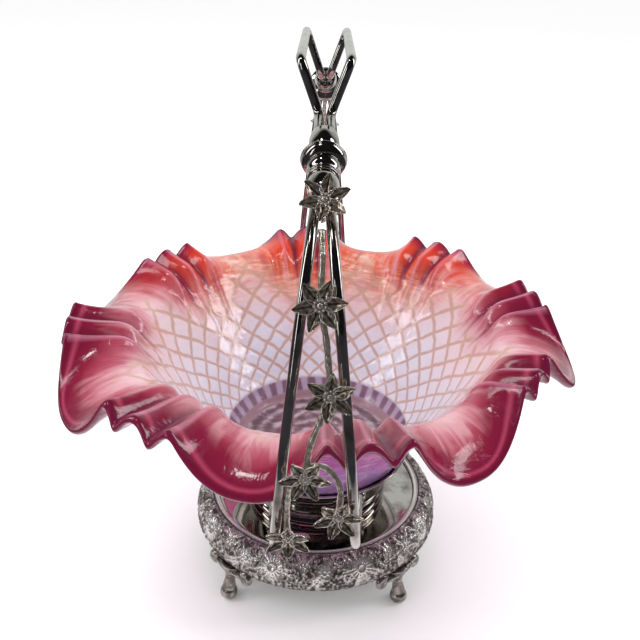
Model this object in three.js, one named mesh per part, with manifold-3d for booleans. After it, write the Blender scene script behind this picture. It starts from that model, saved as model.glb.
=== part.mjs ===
// A brides basket: a ruffled glass bowl standing in a footed, silver plated stand with a tall handle.
// Millimetres, +Z up. The origin lies on the table under the middle of the base, and the handle lies in
// the YZ plane, so that one arm rises in front (-Y) and the other behind (+Y).
import * as THREE from "three";
import { mergeVertices } from "three/addons/utils/BufferGeometryUtils.js";
import Module from "manifold-3d";

const wasm = await Module();
wasm.setup();

// Clearances
const seatGap = 0.3; // left between two pieces that touch, are soldered or are screwed together
const cutOverrun = 2; // how far a cutting solid runs past the wall that it cuts
const weldStep = 0.001; // vertices closer than this are one

// Base: an embossed border round a polished plate
const baseRadius = 72.5;
const baseWidestHeight = 27;
const baseTopHeight = 41.8;
const skirtHeight = 24;
const crownInset = 9.5; // the crown of the border lies this far inside its widest line
const skirtInset = 3.2; // and its lower edge this far
const lipWidth = 2.9;
const lipRise = 1; // the lip stands this far above the plate
const plateThickness = 2;
const borderWall = 2.2;
const ledgeWidth = 2;

// Feet: cast, with a ball, a stalk and a leaf that spreads under the border's lower edge
const footAngleDegrees = 48; // from the X axis
const footBallRadius = 5;
const footOutset = 0.7; // of the ball's middle beyond the border's widest line
const footFlatDepth = 0.5;
const footTopInset = 3;
const footTopDrop = 0.6; // below the border's lower edge
const stalkNeckRadius = 2.9;
const stalkTopRadius = 4.8;
const leafSpread = 13.5;
const leafDepth = 4.8;
const leafRise = 3.8;
const leafInset = 2.7;
const leafDrop = 2.4;
const scrollRadius = 4;
const scrollSide = 12.2;
const scrollInset = 1.6;
const scrollDrop = 2.9;

// Pedestal: a stepped spun dome, a turned knop and a dish that holds the glass
const pedestalRadius = 42;
const pedestalStepRise = 10.1;
const domeRadius = 33.2;
const domeStepRise = 5.2;
const pedestalNeckRadius = 18;
const pedestalNeckRise = 4.9;
const pedestalWall = 1.8;
const stepRound = 2;
const knopRadius = 19;
const knopWaistRadius = 15;
const knopLength = 4.9;
const dishPlate = 2.7;
const dishUnderInset = 5.9; // the dish's underside is this much smaller than its inside
const dishLipRise = 4.9;
const dishLipWall = 1.6;
const bowlFit = 1; // room round the glass in the dish

// The bolt that ties dish, knop, pedestal and base together
const boltRadius = 2.5;
const boltHeadRadius = 7;
const boltHeadThickness = 2.2;
const boltHeadSink = 1.2;
const boltTail = 3;
const washerRadius = 9;
const washerThickness = 1.2;
const nutRadius = 6;
const nutThickness = 4.2;

// Glass bowl, measured on its inner surface unless named otherwise, with rises above the well's floor
const glassFootRadius = 48.9;
const glassFootInnerRadius = 38;
const glassFootRecess = 2.2;
const glassFloor = 5;
const wellFloorRadius = 42.5;
const wellFloorDip = 0.6;
const wellCornerRadius = 46.6;
const wellCornerRise = 1.9;
const wellRingRadius = 53.6;
const wellRingRise = 11.1;
const shoulderRadius = 95;
const shoulderRise = 68.5;
const valleyRadius = 131;
const valleyRise = 79.8;
const crimpInset = 3.5; // the crimps' tips lie this far inside the valleys
const crimpRise = 89;
const lobeOutset = 8; // the scallops reach this far beyond the valleys
const lobeRise = 63;
const glassWall = 3.6;
const rimWall = 4.4;

// Handle rods
const rodRadius = 2.1;
const topRailRise = 22.7; // of the top rails above the crotch, where the rods part
const topRailSpread = 0.8; // the top rails end this far outside the crotch
const topRailHalfWidth = 10.5;
const crotchRise = 4; // above the top of the upper bead
const crotchInset = 19.8;
const collarReach = 84;
const collarHeight = 266.1;
const collarTiltDegrees = 66; // of the collar's axis from upright
const armBowReachShare = 0.716; // of the way from the collar to the outer corner
const armBowDropShare = 0.159;
const armBowSpreadShare = 0.25;
const armClearance = 16.6; // of the arm's outer corner beyond the glass's valleys
const cornerHeight = 169;
const cornerHalfWidth = 12.8;
const bendInset = 4.6; // of the lower bend inside the outer corner
const bendHeight = 123.9;
const bendHalfWidth = 16.5;
const runReach = 66;
const runHeight = 70.5;
const runHalfWidth = 22.4;
const railFillet = 5;
const crotchFillet = 6;
const beadFillet = 4.4;
const armFillet = 29;
const cornerFillet = 13;
const bendFillet = 9;

// Beads of the collar, from the top down
const upperBeadRadius = 6.3;
const upperBeadLength = 12;
const discBeadRadius = 9.3;
const discBeadLength = 6.6;
const discStepRadius = 6.7;
const discStepLength = 6;
const lowerBeadRadius = 6.3;
const lowerBeadLength = 10.4;
const beadEndWall = 0.5;

// Ball headed screws that hold the rods' lower ends on the pedestal
const screwHeadRadius = 3.8;
const screwAngleDegrees = 47.6; // from the X axis
const screwLift = 3.4;
const screwShankRadius = 1.6;
const screwTail = 2.6;

// Vine and flowers
const vineRadius = 1.25;
const flowerRadius = 10;
const flowerWaistRadius = 4.6;
const petalShoulderRadius = 6.7;
const flowerEyeRadius = 1.9;
const flowerEyeHeight = 2.5;
const petalRidgeHeight = 1.7;
const petalEdgeThickness = 1;
const petalTipRise = 1.6;
const firstFlowerLift = 1; // the flower next to the collar leans over the lower bead

// Counts of pieces and of faces
const groupCount = 8; // groups of crimps round the rim
const petalCount = 6;
const turnSteps = 36;
const smallTurnSteps = 16;
const knopSteps = 24;
const nutSides = 6;
const rodSides = 8;
const shankSides = 8;
const vineSides = 6;
const vineStepsPerPoint = 2;
const filletSteps = 3;
const ballSteps = 10;
const ballRings = 6;
const borderOuterSteps = 4; // in each quarter of the border's line
const borderInnerSteps = 3;
const borderCutSteps = 6;
const stepRoundSteps = 2;
const swellSteps = 4;
const crimpSteps = 2; // from a crimp to the valley beside it
const lobeSteps = 4; // from a crimp to the middle of a scallop
const petalSteps = 4;

// Heights and radii that follow
const ballHeight = footBallRadius - footFlatDepth;
const crownRadius = baseRadius - crownInset;
const skirtRadius = baseRadius - skirtInset;
const lipRadius = crownRadius - lipWidth;
const plateRadius = lipRadius - seatGap;
const plateHeight = baseTopHeight - lipRise;
const plateUnder = plateHeight - plateThickness;
const pedestalUnder = plateHeight + seatGap;
const pedestalStepHeight = plateHeight + pedestalStepRise;
const domeStepHeight = pedestalStepHeight + domeStepRise;
const pedestalTopHeight = domeStepHeight + pedestalNeckRise;
const knopUnder = pedestalTopHeight + seatGap;
const knopTop = knopUnder + knopLength;
const dishUnder = knopTop + seatGap;
const dishFloor = dishUnder + dishPlate;
const dishLipHeight = dishFloor + dishLipRise;
const glassUnder = dishFloor + seatGap;
const wellFloorHeight = glassUnder + glassFloor;
const boltHoleRadius = boltRadius + seatGap;

const silverPlate = { color: 0x9a9896, roughness: 0.14, metalness: 1 };
const embossedPlate = { color: 0x8f8b88, roughness: 0.38, metalness: 1 };
const tarnishedPlate = { color: 0x5f5348, roughness: 0.42, metalness: 1 };
const steel = { color: 0x77746f, roughness: 0.4, metalness: 1 };
const cranberryGlass = { color: 0xc94f78, roughness: 0.08, metalness: 0 };

const basket = new THREE.Group();
basket.name = "brides_basket";

// Adds one named piece to the model.
function addPiece(name, geometry, look, parent = basket) {
  geometry.computeVertexNormals();
  const mesh = new THREE.Mesh(geometry, new THREE.MeshStandardMaterial(look));
  mesh.name = name;
  parent.add(mesh);
  return mesh;
}

// Turns a closed geometry into a solid for joining and cutting.
function toSolid(geometry) {
  const bare = new THREE.BufferGeometry();
  bare.setAttribute("position", geometry.getAttribute("position").clone());
  if (geometry.index) {
    bare.setIndex(geometry.index.clone());
  }
  const merged = mergeVertices(bare, weldStep);
  return new wasm.Manifold(
    new wasm.Mesh({
      numProp: 3,
      vertProperties: merged.attributes.position.array,
      triVerts: new Uint32Array(merged.index.array),
    }),
  );
}

// Turns a solid back into a geometry.
function fromSolid(solid) {
  const mesh = solid.getMesh();
  const stride = mesh.numProp;
  const positions = new Float32Array(mesh.numVert * 3);
  for (let i = 0; i < mesh.numVert; i += 1) {
    positions.set(mesh.vertProperties.subarray(i * stride, i * stride + 3), i * 3);
  }
  const geometry = new THREE.BufferGeometry();
  geometry.setAttribute("position", new THREE.BufferAttribute(positions, 3));
  geometry.setIndex(new THREE.BufferAttribute(new Uint32Array(mesh.triVerts), 1));
  return geometry;
}

// Joins a list of geometries into one solid.
function joined(geometries) {
  const solids = geometries.map(toSolid);
  return solids.reduce((whole, next) => whole.add(next));
}

// Turns a profile of [radius, height] points about the Z axis. The profile runs up its outer side.
function turned(profile, steps = turnSteps) {
  const points = profile.map(([radius, height]) => new THREE.Vector2(radius, height));
  return new THREE.LatheGeometry(points, steps).rotateX(Math.PI / 2);
}

// A ring profile: outer points upwards, then inner points downwards, closed on its first point.
function closedProfile(outer, inner) {
  return [...outer, ...inner, outer[0]];
}

// Points of an ellipse's arc in a profile, from one angle to another in degrees.
function arcPoints(centreRadius, centreHeight, halfWidth, halfHeight, from, to, steps) {
  const points = [];
  for (let i = 0; i <= steps; i += 1) {
    const angle = THREE.MathUtils.degToRad(from + ((to - from) * i) / steps);
    const radius = centreRadius + halfWidth * Math.cos(angle);
    points.push([radius, centreHeight + halfHeight * Math.sin(angle)]);
  }
  return points;
}

// A closed skin over rings of points. The first and last ring may be one point, a pole.
function ringSkin(rings) {
  const positions = [];
  const starts = [];
  for (const ring of rings) {
    starts.push(positions.length / 3);
    for (const point of ring) {
      positions.push(...point);
    }
  }
  const index = [];
  for (let i = 0; i + 1 < rings.length; i += 1) {
    const here = rings[i].length;
    const next = rings[i + 1].length;
    const count = Math.max(here, next);
    for (let j = 0; j < count; j += 1) {
      const k = (j + 1) % count;
      if (here > 1) {
        index.push(starts[i] + j, starts[i] + k, starts[i + 1] + (next > 1 ? k : 0));
      }
      if (next > 1) {
        index.push(starts[i] + (here > 1 ? j : 0), starts[i + 1] + k, starts[i + 1] + j);
      }
    }
  }
  const geometry = new THREE.BufferGeometry();
  geometry.setAttribute("position", new THREE.BufferAttribute(new Float32Array(positions), 3));
  geometry.setIndex(index);
  return geometry;
}

// A route through given points, one step of the sweep for each.
class Route extends THREE.Curve {
  constructor(points) {
    super();
    this.points = points;
  }
  getPoint(share) {
    const place = share * (this.points.length - 1);
    const i = Math.min(Math.floor(place), this.points.length - 2);
    return this.points[i].clone().lerp(this.points[i + 1], place - i);
  }
  getTangent(share) {
    const last = this.points.length - 1;
    const i = Math.round(share * last);
    const before = this.points[Math.max(i - 1, 0)];
    const after = this.points[Math.min(i + 1, last)];
    return after.clone().sub(before).normalize();
  }
  getPointAt(share) {
    return this.getPoint(share);
  }
  getTangentAt(share) {
    return this.getTangent(share);
  }
  getSpacedPoints(count) {
    return this.getPoints(count);
  }
}

// A round bar swept along a list of points.
function barAlong(points, radius, sides) {
  const section = new THREE.Shape();
  for (let i = 0; i < sides; i += 1) {
    const angle = (2 * Math.PI * i) / sides;
    const x = radius * Math.cos(angle);
    const y = radius * Math.sin(angle);
    if (i === 0) {
      section.moveTo(x, y);
    } else {
      section.lineTo(x, y);
    }
  }
  section.closePath();
  const route = new Route(points);
  return new THREE.ExtrudeGeometry(section, { steps: points.length - 1, extrudePath: route });
}

// Rounds the corners of a route. Each corner is { point, fillet }.
function roundedRoute(corners) {
  const points = [];
  corners.forEach(({ point, fillet }, i) => {
    if (!fillet || i === 0 || i === corners.length - 1) {
      points.push(point.clone());
      return;
    }
    const back = corners[i - 1].point.clone().sub(point);
    const onward = corners[i + 1].point.clone().sub(point);
    const start = point.clone().addScaledVector(back.normalize(), fillet);
    const end = point.clone().addScaledVector(onward.normalize(), fillet);
    const bow = new THREE.QuadraticBezierCurve3(start, point, end);
    points.push(...bow.getPoints(filletSteps));
  });
  return points;
}

// Base border: a hollow band that swells outwards and curls in to its lower edge
const ledgeHeight = plateUnder - seatGap;
const ledgeRadius = lipRadius - ledgeWidth;
const crownRise = baseTopHeight - baseWidestHeight;
const skirtDrop = baseWidestHeight - skirtHeight;

// The outer line of the border from its lower edge to its crown, swollen by an extra amount.
function borderLine(extra, steps) {
  const skirt = [skirtRadius, baseWidestHeight, skirtInset + extra, skirtDrop + extra];
  const crown = [crownRadius, baseWidestHeight, crownInset + extra, crownRise + extra];
  return [...arcPoints(...skirt, -90, 0, steps), ...arcPoints(...crown, 0, 90, steps).slice(1)];
}

const borderOuter = [...borderLine(0, borderOuterSteps), [lipRadius, baseTopHeight]];
const borderInner = [
  [lipRadius, ledgeHeight],
  [ledgeRadius, ledgeHeight],
  [ledgeRadius, ledgeHeight - borderWall],
  ...borderLine(-borderWall, borderInnerSteps).slice(1, -1).reverse(),
  [skirtRadius, skirtHeight + borderWall],
];
addPiece("base_border", turned(closedProfile(borderOuter, borderInner)), embossedPlate);

// Base plate: the polished disc inside the border, bored for the tie bolt

// A flat ring, from its inner to its outer radius and from its lower to its upper height.
function flatRing(innerRadius, outerRadius, lowHeight, highHeight, steps) {
  const outer = [
    [outerRadius, lowHeight],
    [outerRadius, highHeight],
  ];
  const inner = [
    [innerRadius, highHeight],
    [innerRadius, lowHeight],
  ];
  return turned(closedProfile(outer, inner), steps);
}

addPiece("base_plate", flatRing(boltHoleRadius, plateRadius, plateUnder, plateHeight), silverPlate);

// Feet: each is cut to the border that it is soldered to
const envelopeLine = borderLine(seatGap, borderCutSteps);
const borderEnvelope = toSolid(
  turned([[0, skirtHeight - seatGap], ...envelopeLine, [0, baseTopHeight + seatGap]]),
);
const footReach = baseRadius + footOutset;

// One foot, standing out along +X.
function footGeometry() {
  const ball = new THREE.SphereGeometry(footBallRadius, ballSteps, ballRings);
  ball.rotateX(Math.PI / 2);
  ball.translate(footReach, 0, ballHeight);
  const rise = skirtHeight - footTopDrop - ballHeight;
  const lean = footOutset + footTopInset;
  const stalkLength = Math.hypot(rise, lean);
  const stalk = turned(
    [
      [0, 0],
      [stalkNeckRadius, 0],
      [stalkNeckRadius, stalkLength / 2],
      [stalkTopRadius, stalkLength],
      [0, stalkLength],
    ],
    shankSides,
  );
  stalk.rotateY(-Math.atan2(lean, rise));
  stalk.translate(footReach, 0, ballHeight);
  const leaf = new THREE.SphereGeometry(1, ballSteps, ballRings);
  leaf.scale(leafDepth, leafSpread, leafRise);
  leaf.translate(baseRadius - leafInset, 0, skirtHeight - leafDrop);
  const scrolls = [-1, 1].map((side) => {
    const scroll = new THREE.SphereGeometry(scrollRadius, ballSteps, ballRings);
    return scroll.translate(baseRadius - scrollInset, side * scrollSide, skirtHeight - scrollDrop);
  });
  const blockSide = 4 * footBallRadius;
  const floorBlock = new THREE.BoxGeometry(blockSide, blockSide, 2 * footBallRadius);
  floorBlock.translate(footReach, 0, -footBallRadius);
  return joined([ball, stalk, leaf, ...scrolls]).subtract(toSolid(floorBlock)).subtract(borderEnvelope);
}

const footSolid = footGeometry();
const footPlaces = [
  ["front_right_foot", -footAngleDegrees],
  ["front_left_foot", footAngleDegrees - 180],
  ["back_right_foot", footAngleDegrees],
  ["back_left_foot", 180 - footAngleDegrees],
];
for (const [name, degrees] of footPlaces) {
  const foot = addPiece(name, fromSolid(footSolid), embossedPlate);
  foot.rotation.z = THREE.MathUtils.degToRad(degrees);
}

// Pedestal foot: a spun dome with a wide step, on the plate, drilled for the rods' screws

// The rounded shoulder of a step, from its side to its flat top.
function stepShoulder(radius, height) {
  return arcPoints(radius - stepRound, height - stepRound, stepRound, stepRound, 0, 90, stepRoundSteps);
}

const pedestalOuter = [
  [pedestalRadius, pedestalUnder],
  ...stepShoulder(pedestalRadius, pedestalStepHeight),
  [domeRadius, pedestalStepHeight],
  ...stepShoulder(domeRadius, domeStepHeight).slice(1),
  [pedestalNeckRadius + stepRound, pedestalTopHeight - stepRound],
  [pedestalNeckRadius, pedestalTopHeight],
];
const pedestalInner = [
  [boltHoleRadius, pedestalTopHeight],
  [boltHoleRadius, pedestalTopHeight - pedestalWall],
  [pedestalNeckRadius - pedestalWall, pedestalTopHeight - pedestalWall],
  [domeRadius - stepRound - pedestalWall, domeStepHeight - pedestalWall],
  [domeRadius - pedestalWall, pedestalStepHeight - pedestalWall],
  [pedestalRadius - pedestalWall, pedestalStepHeight - pedestalWall],
  [pedestalRadius - pedestalWall, pedestalUnder],
];
const screwHoleRadius = screwShankRadius + seatGap;
const screwRing = (domeRadius + pedestalRadius) / 2;
const screwSide = screwRing * Math.cos(THREE.MathUtils.degToRad(screwAngleDegrees));
const screwReach = screwRing * Math.sin(THREE.MathUtils.degToRad(screwAngleDegrees));
const screwPlaces = [
  ["front_left_screw", -1, -1],
  ["front_right_screw", 1, -1],
  ["back_left_screw", -1, 1],
  ["back_right_screw", 1, 1],
];
let pedestalSolid = toSolid(turned(closedProfile(pedestalOuter, pedestalInner)));
for (const [, side, end] of screwPlaces) {
  const drillLength = pedestalWall + 2 * cutOverrun;
  const drill = new THREE.CylinderGeometry(screwHoleRadius, screwHoleRadius, drillLength, shankSides);
  drill.rotateX(Math.PI / 2);
  drill.translate(side * screwSide, end * screwReach, pedestalStepHeight - pedestalWall / 2);
  pedestalSolid = pedestalSolid.subtract(toSolid(drill));
}
addPiece("pedestal_foot", fromSolid(pedestalSolid), silverPlate);

// Screws: a ball head on a short shank through the pedestal's step
const screwHeadHeight = pedestalStepHeight + screwLift + seatGap;
for (const [name, side, end] of screwPlaces) {
  const head = new THREE.SphereGeometry(screwHeadRadius, ballSteps, ballRings);
  head.rotateX(Math.PI / 2);
  const shankLength = screwHeadHeight - (pedestalStepHeight - pedestalWall - screwTail);
  const shank = new THREE.CylinderGeometry(screwShankRadius, screwShankRadius, shankLength, shankSides);
  shank.rotateX(Math.PI / 2);
  shank.translate(0, 0, -shankLength / 2);
  const blockSide = 4 * screwHeadRadius;
  const stepBlock = new THREE.BoxGeometry(blockSide, blockSide, 2 * screwHeadRadius);
  stepBlock.translate(0, 0, -screwLift - screwHeadRadius);
  const cutHead = toSolid(head).subtract(toSolid(stepBlock));
  const screw = addPiece(name, fromSolid(cutHead.add(toSolid(shank))), silverPlate);
  screw.position.set(side * screwSide, end * screwReach, screwHeadHeight);
}

// Knop between pedestal and dish
const knopHalf = knopLength / 2;
const knopMiddle = [knopWaistRadius, knopUnder + knopHalf, knopRadius - knopWaistRadius, knopHalf];
const knopSwell = arcPoints(...knopMiddle, -60, 60, swellSteps);
const knopOuter = [[knopWaistRadius, knopUnder], ...knopSwell, [knopWaistRadius, knopTop]];
const knopInner = [
  [boltHoleRadius, knopTop],
  [boltHoleRadius, knopUnder],
];
addPiece("stem_knop", turned(closedProfile(knopOuter, knopInner), knopSteps), silverPlate);

// Dish that the foot of the glass sits in
const headSeat = dishFloor - boltHeadSink;
const dishInnerRadius = glassFootRadius + bowlFit;
const wallDegrees = 57; // slope of the glass above the well's ring, up from level
const wallSlope = THREE.MathUtils.degToRad(wallDegrees);
const ringOuterRadius = wellRingRadius + glassWall * Math.sin(wallSlope);
const ringOuterHeight = wellFloorHeight + wellRingRise - glassWall * Math.cos(wallSlope);
const glassSideLean = (ringOuterRadius - glassFootRadius) / (ringOuterHeight - glassUnder);
const dishLipInnerRadius = dishInnerRadius + glassSideLean * dishLipRise;
const dishOuter = [
  [dishInnerRadius - dishUnderInset, dishUnder],
  [dishInnerRadius + dishLipWall, dishFloor],
  [dishLipInnerRadius + dishLipWall, dishLipHeight],
];
const dishInner = [
  [dishLipInnerRadius, dishLipHeight],
  [dishInnerRadius, dishFloor],
  [boltHeadRadius + seatGap, dishFloor],
  [boltHeadRadius + seatGap, headSeat],
  [boltHoleRadius, headSeat],
  [boltHoleRadius, dishUnder],
];
addPiece("bowl_dish", turned(closedProfile(dishOuter, dishInner)), silverPlate);

// Tie bolt, washer and nut
const washerTop = plateUnder - seatGap;
const nutTop = washerTop - washerThickness - seatGap;
const boltFoot = nutTop - nutThickness - boltTail;
const headUnder = headSeat + seatGap;
const boltProfile = [
  [0, boltFoot],
  [boltRadius, boltFoot],
  [boltRadius, headUnder],
  [boltHeadRadius, headUnder],
  [boltHeadRadius - boltHeadSink, headUnder + boltHeadThickness],
  [0, headUnder + boltHeadThickness],
];
addPiece("tie_bolt", turned(boltProfile, smallTurnSteps), steel);
addPiece(
  "tie_washer",
  flatRing(boltHoleRadius, washerRadius, washerTop - washerThickness, washerTop, smallTurnSteps),
  steel,
);
const nutBlank = toSolid(flatRing(0, nutRadius, nutTop - nutThickness, nutTop, nutSides));
const boreLength = nutThickness + 2 * cutOverrun;
const nutBore = new THREE.CylinderGeometry(boltHoleRadius, boltHoleRadius, boreLength, smallTurnSteps);
nutBore.rotateX(Math.PI / 2);
nutBore.translate(0, 0, nutTop - nutThickness / 2);
addPiece("tie_nut", fromSolid(nutBlank.subtract(toSolid(nutBore))), steel);

// Glass bowl. Its rim has eight groups of three tight crimps with a wide drooping scallop between them.
const firstGroupDegrees = -80.5;
const crimpSpacingDegrees = 8.5;
const groupTurnDegrees = [0.2, 3.2, 1.5, -2.3, -3.8, -1.5, 0.1, 0.8];
const groupRadiusShares = [1, 0.955, 0.975, 0.983, 0.94, 0.962, 1.035, 1.052];
const lobeRadiusShares = [0.935, 1, 1, 0.95, 1, 1, 1.028, 0.993];
const lobeRiseShares = [0.928, 0.993, 1, 1.079, 1, 1, 0.977, 1.056];
const crimpEndDegrees = 18; // slope of the glass at its edge, up from level
const valleyEndDegrees = -2;
const lobeEndDegrees = -52;
const lobeFlatness = 2.4; // 1 falls evenly, and more is flatter at the scallop's middle
const shoulderSlope = THREE.MathUtils.degToRad(50);
const crimpLeaveDegrees = 72; // slope of the glass where it leaves the shoulder
const valleyLeaveDegrees = 44;
const lobeLeaveDegrees = 50;
const crimpPull = 1.7; // length of the curve's end tangents over its chord
const plainPull = 1;
const wallShares = [0, 0.5]; // of the way from the well's ring to the shoulder
const flareShares = [0, 0.3, 0.55, 0.8, 1]; // of the way from the shoulder to the edge
const backFlareShares = [0, 0.4, 0.75, 1];
const edgeRoundDegrees = [45, 90, 135];

// Turning points of the edge in order round the bowl: { angle, radius, height, slope, leave, pull,
// steps }.
function rimTurningPoints() {
  const keys = [];
  for (let i = 0; i < groupCount; i += 1) {
    const centre = firstGroupDegrees + (360 / groupCount) * i + groupTurnDegrees[i];
    const next = (i + 1) % groupCount;
    const nextCentre = firstGroupDegrees + (360 / groupCount) * (i + 1) + groupTurnDegrees[next];
    const share = groupRadiusShares[i];
    for (let j = -2; j <= 2; j += 1) {
      const isCrimp = j % 2 === 0;
      keys.push({
        angle: centre + (j * crimpSpacingDegrees) / 2,
        radius: (isCrimp ? valleyRadius - crimpInset : valleyRadius) * share,
        height: wellFloorHeight + (isCrimp ? crimpRise : valleyRise),
        slope: isCrimp ? crimpEndDegrees : valleyEndDegrees,
        leave: isCrimp ? crimpLeaveDegrees : valleyLeaveDegrees,
        pull: isCrimp ? crimpPull : plainPull,
        steps: j === 2 ? lobeSteps : crimpSteps,
      });
    }
    keys.push({
      angle: (centre + nextCentre) / 2,
      radius: (valleyRadius + lobeOutset) * lobeRadiusShares[i],
      height: wellFloorHeight + lobeRise * lobeRiseShares[i],
      slope: lobeEndDegrees,
      leave: lobeLeaveDegrees,
      pull: plainPull,
      steps: lobeSteps,
    });
  }
  return keys;
}

// The share of the change between two turning points that is done at a share of the way. A crimp
// eases in and out. A scallop falls steeply from its crimps and is flat at its middle.
function easeBetween(key, next, share) {
  if (next.slope === lobeEndDegrees) {
    return 1 - (1 - share) ** lobeFlatness;
  }
  if (key.slope === lobeEndDegrees) {
    return share ** lobeFlatness;
  }
  return (1 - Math.cos(Math.PI * share)) / 2;
}

// Stations round the edge, eased between its turning points.
function rimStations() {
  const keys = rimTurningPoints();
  const stations = [];
  keys.forEach((key, i) => {
    const next = keys[(i + 1) % keys.length];
    const turn = i + 1 === keys.length ? 360 : 0;
    for (let step = 0; step < key.steps; step += 1) {
      const share = step / key.steps;
      const ease = easeBetween(key, next, share);
      stations.push({
        angle: THREE.MathUtils.degToRad(THREE.MathUtils.lerp(key.angle, next.angle + turn, share)),
        radius: THREE.MathUtils.lerp(key.radius, next.radius, ease),
        height: THREE.MathUtils.lerp(key.height, next.height, ease),
        slope: THREE.MathUtils.degToRad(THREE.MathUtils.lerp(key.slope, next.slope, ease)),
        leave: THREE.MathUtils.degToRad(THREE.MathUtils.lerp(key.leave, next.leave, ease)),
        pull: THREE.MathUtils.lerp(key.pull, next.pull, ease),
      });
    }
  });
  return stations;
}

// A point and slope on a curve that leaves one end and meets the other at given slopes.
function curveAt(start, startSlope, end, endSlope, pull, share) {
  const chord = pull * Math.hypot(end[0] - start[0], end[1] - start[1]);
  const a = share * share * (3 - 2 * share);
  const b = share * (1 - share) * (1 - share);
  const c = share * share * (share - 1);
  const da = 6 * share * (1 - share);
  const db = (1 - share) * (1 - 3 * share);
  const dc = share * (3 * share - 2);
  const startWay = [chord * Math.cos(startSlope), chord * Math.sin(startSlope)];
  const endWay = [chord * Math.cos(endSlope), chord * Math.sin(endSlope)];
  const place = [0, 1].map((k) => start[k] + a * (end[k] - start[k]) + b * startWay[k] + c * endWay[k]);
  const way = [0, 1].map((k) => da * (end[k] - start[k]) + db * startWay[k] + dc * endWay[k]);
  return { place, slope: Math.atan2(way[1], way[0]) };
}

// The glass section at one station, as [radius, height] points from the inner floor to the underside.
function glassSection(station) {
  const ring = [wellRingRadius, wellFloorHeight + wellRingRise];
  const shoulder = [shoulderRadius, wellFloorHeight + shoulderRise];
  const edge = [station.radius, station.height];
  const wallAt = (share) => ({
    ...curveAt(ring, wallSlope, shoulder, shoulderSlope, plainPull, share),
    wall: glassWall,
  });
  const flareAt = (share) => ({
    ...curveAt(shoulder, station.leave, edge, station.slope, station.pull, share),
    wall: THREE.MathUtils.lerp(glassWall, rimWall, share),
  });
  const line = [...wallShares.map(wallAt), ...flareShares.map(flareAt)];
  const backLine = [...wallShares.map(wallAt), ...backFlareShares.map(flareAt)];
  const inner = line.map(({ place }) => place);
  const outer = backLine.map(({ place, slope, wall }) => [
    place[0] + wall * Math.sin(slope),
    place[1] - wall * Math.cos(slope),
  ]);
  const last = line[line.length - 1];
  const roundedEdge = edgeRoundDegrees.map((degrees) => {
    const angle = THREE.MathUtils.degToRad(degrees);
    const across = (last.wall / 2) * (1 - Math.cos(angle));
    const along = (last.wall / 2) * Math.sin(angle);
    return [
      last.place[0] + across * Math.sin(last.slope) + along * Math.cos(last.slope),
      last.place[1] - across * Math.cos(last.slope) + along * Math.sin(last.slope),
    ];
  });
  return [
    [wellFloorRadius / 2, wellFloorHeight - wellFloorDip / 2],
    [wellFloorRadius, wellFloorHeight],
    [wellCornerRadius, wellFloorHeight + wellCornerRise],
    ...inner,
    ...roundedEdge,
    ...outer.reverse(),
    [glassFootRadius, glassUnder],
    [glassFootInnerRadius, glassUnder],
    [glassFootInnerRadius - glassFootRecess, glassUnder + glassFootRecess],
  ];
}

const stations = rimStations();
const sections = stations.map(glassSection);
const glassRings = [[[0, 0, wellFloorHeight - wellFloorDip]]];
for (let row = 0; row < sections[0].length; row += 1) {
  glassRings.push(
    stations.map(({ angle }, i) => {
      const [radius, height] = sections[i][row];
      return [radius * Math.cos(angle), radius * Math.sin(angle), height];
    }),
  );
}
glassRings.push([[0, 0, glassUnder + glassFootRecess]]);
addPiece("glass_bowl", ringSkin(glassRings.reverse()), cranberryGlass);

// Handle rods. A place on an arm is its reach from the middle, its height and its half width.
const collarTilt = THREE.MathUtils.degToRad(collarTiltDegrees);
const pinchHalfWidth = rodRadius + seatGap / 2; // the two rods lie side by side in the collar
const cornerReach = valleyRadius + armClearance;
const bendReach = cornerReach - bendInset;

// A place on the collar's tilted axis, at a length down from the middle of the disc bead.
function collarPlace(down) {
  const reach = collarReach + down * Math.sin(collarTilt);
  return { reach, height: collarHeight - down * Math.cos(collarTilt), half: pinchHalfWidth };
}

const upperBeadStart = discBeadLength / 2 + seatGap + upperBeadLength;
const lowerBeadEnd = discBeadLength / 2 + discStepLength + seatGap + lowerBeadLength;
const rodJointGap = seatGap / 2;
const armBowHalfWidth = THREE.MathUtils.lerp(pinchHalfWidth, cornerHalfWidth, armBowSpreadShare);
const upperBeadTop = collarPlace(-upperBeadStart);
const lowerBeadFoot = collarPlace(lowerBeadEnd);
const crotchReach = upperBeadTop.reach - crotchInset;
const crotchHeight = upperBeadTop.height + crotchRise;
const topRailReach = crotchReach + topRailSpread;
const topRailHeight = crotchHeight + topRailRise;
const armBowReach = THREE.MathUtils.lerp(lowerBeadFoot.reach, cornerReach, armBowReachShare);
const armBowHeight = THREE.MathUtils.lerp(lowerBeadFoot.height, cornerHeight, armBowDropShare);
const railCorners = [
  { ...collarPlace(-rodJointGap) },
  { ...upperBeadTop, fillet: beadFillet },
  { reach: crotchReach, height: crotchHeight, half: pinchHalfWidth, fillet: crotchFillet },
  { reach: topRailReach, height: topRailHeight, half: topRailHalfWidth, fillet: railFillet },
];
const armCorners = [
  { ...collarPlace(rodJointGap) },
  { ...lowerBeadFoot, fillet: beadFillet },
  { reach: armBowReach, height: armBowHeight, half: armBowHalfWidth, fillet: armFillet },
  { reach: cornerReach, height: cornerHeight, half: cornerHalfWidth, fillet: cornerFillet },
  { reach: bendReach, height: bendHeight, half: bendHalfWidth, fillet: bendFillet },
  { reach: runReach, height: runHeight, half: runHalfWidth, fillet: bendFillet },
  { reach: screwReach, height: screwHeadHeight, half: screwSide },
];

// Corners as points, for the left or right rod and the front or back arm.
function placedCorners(corners, side, end) {
  return corners.map(({ reach, height, half, fillet }) => ({
    point: new THREE.Vector3(side * half, end * reach, height),
    fillet,
  }));
}

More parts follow.
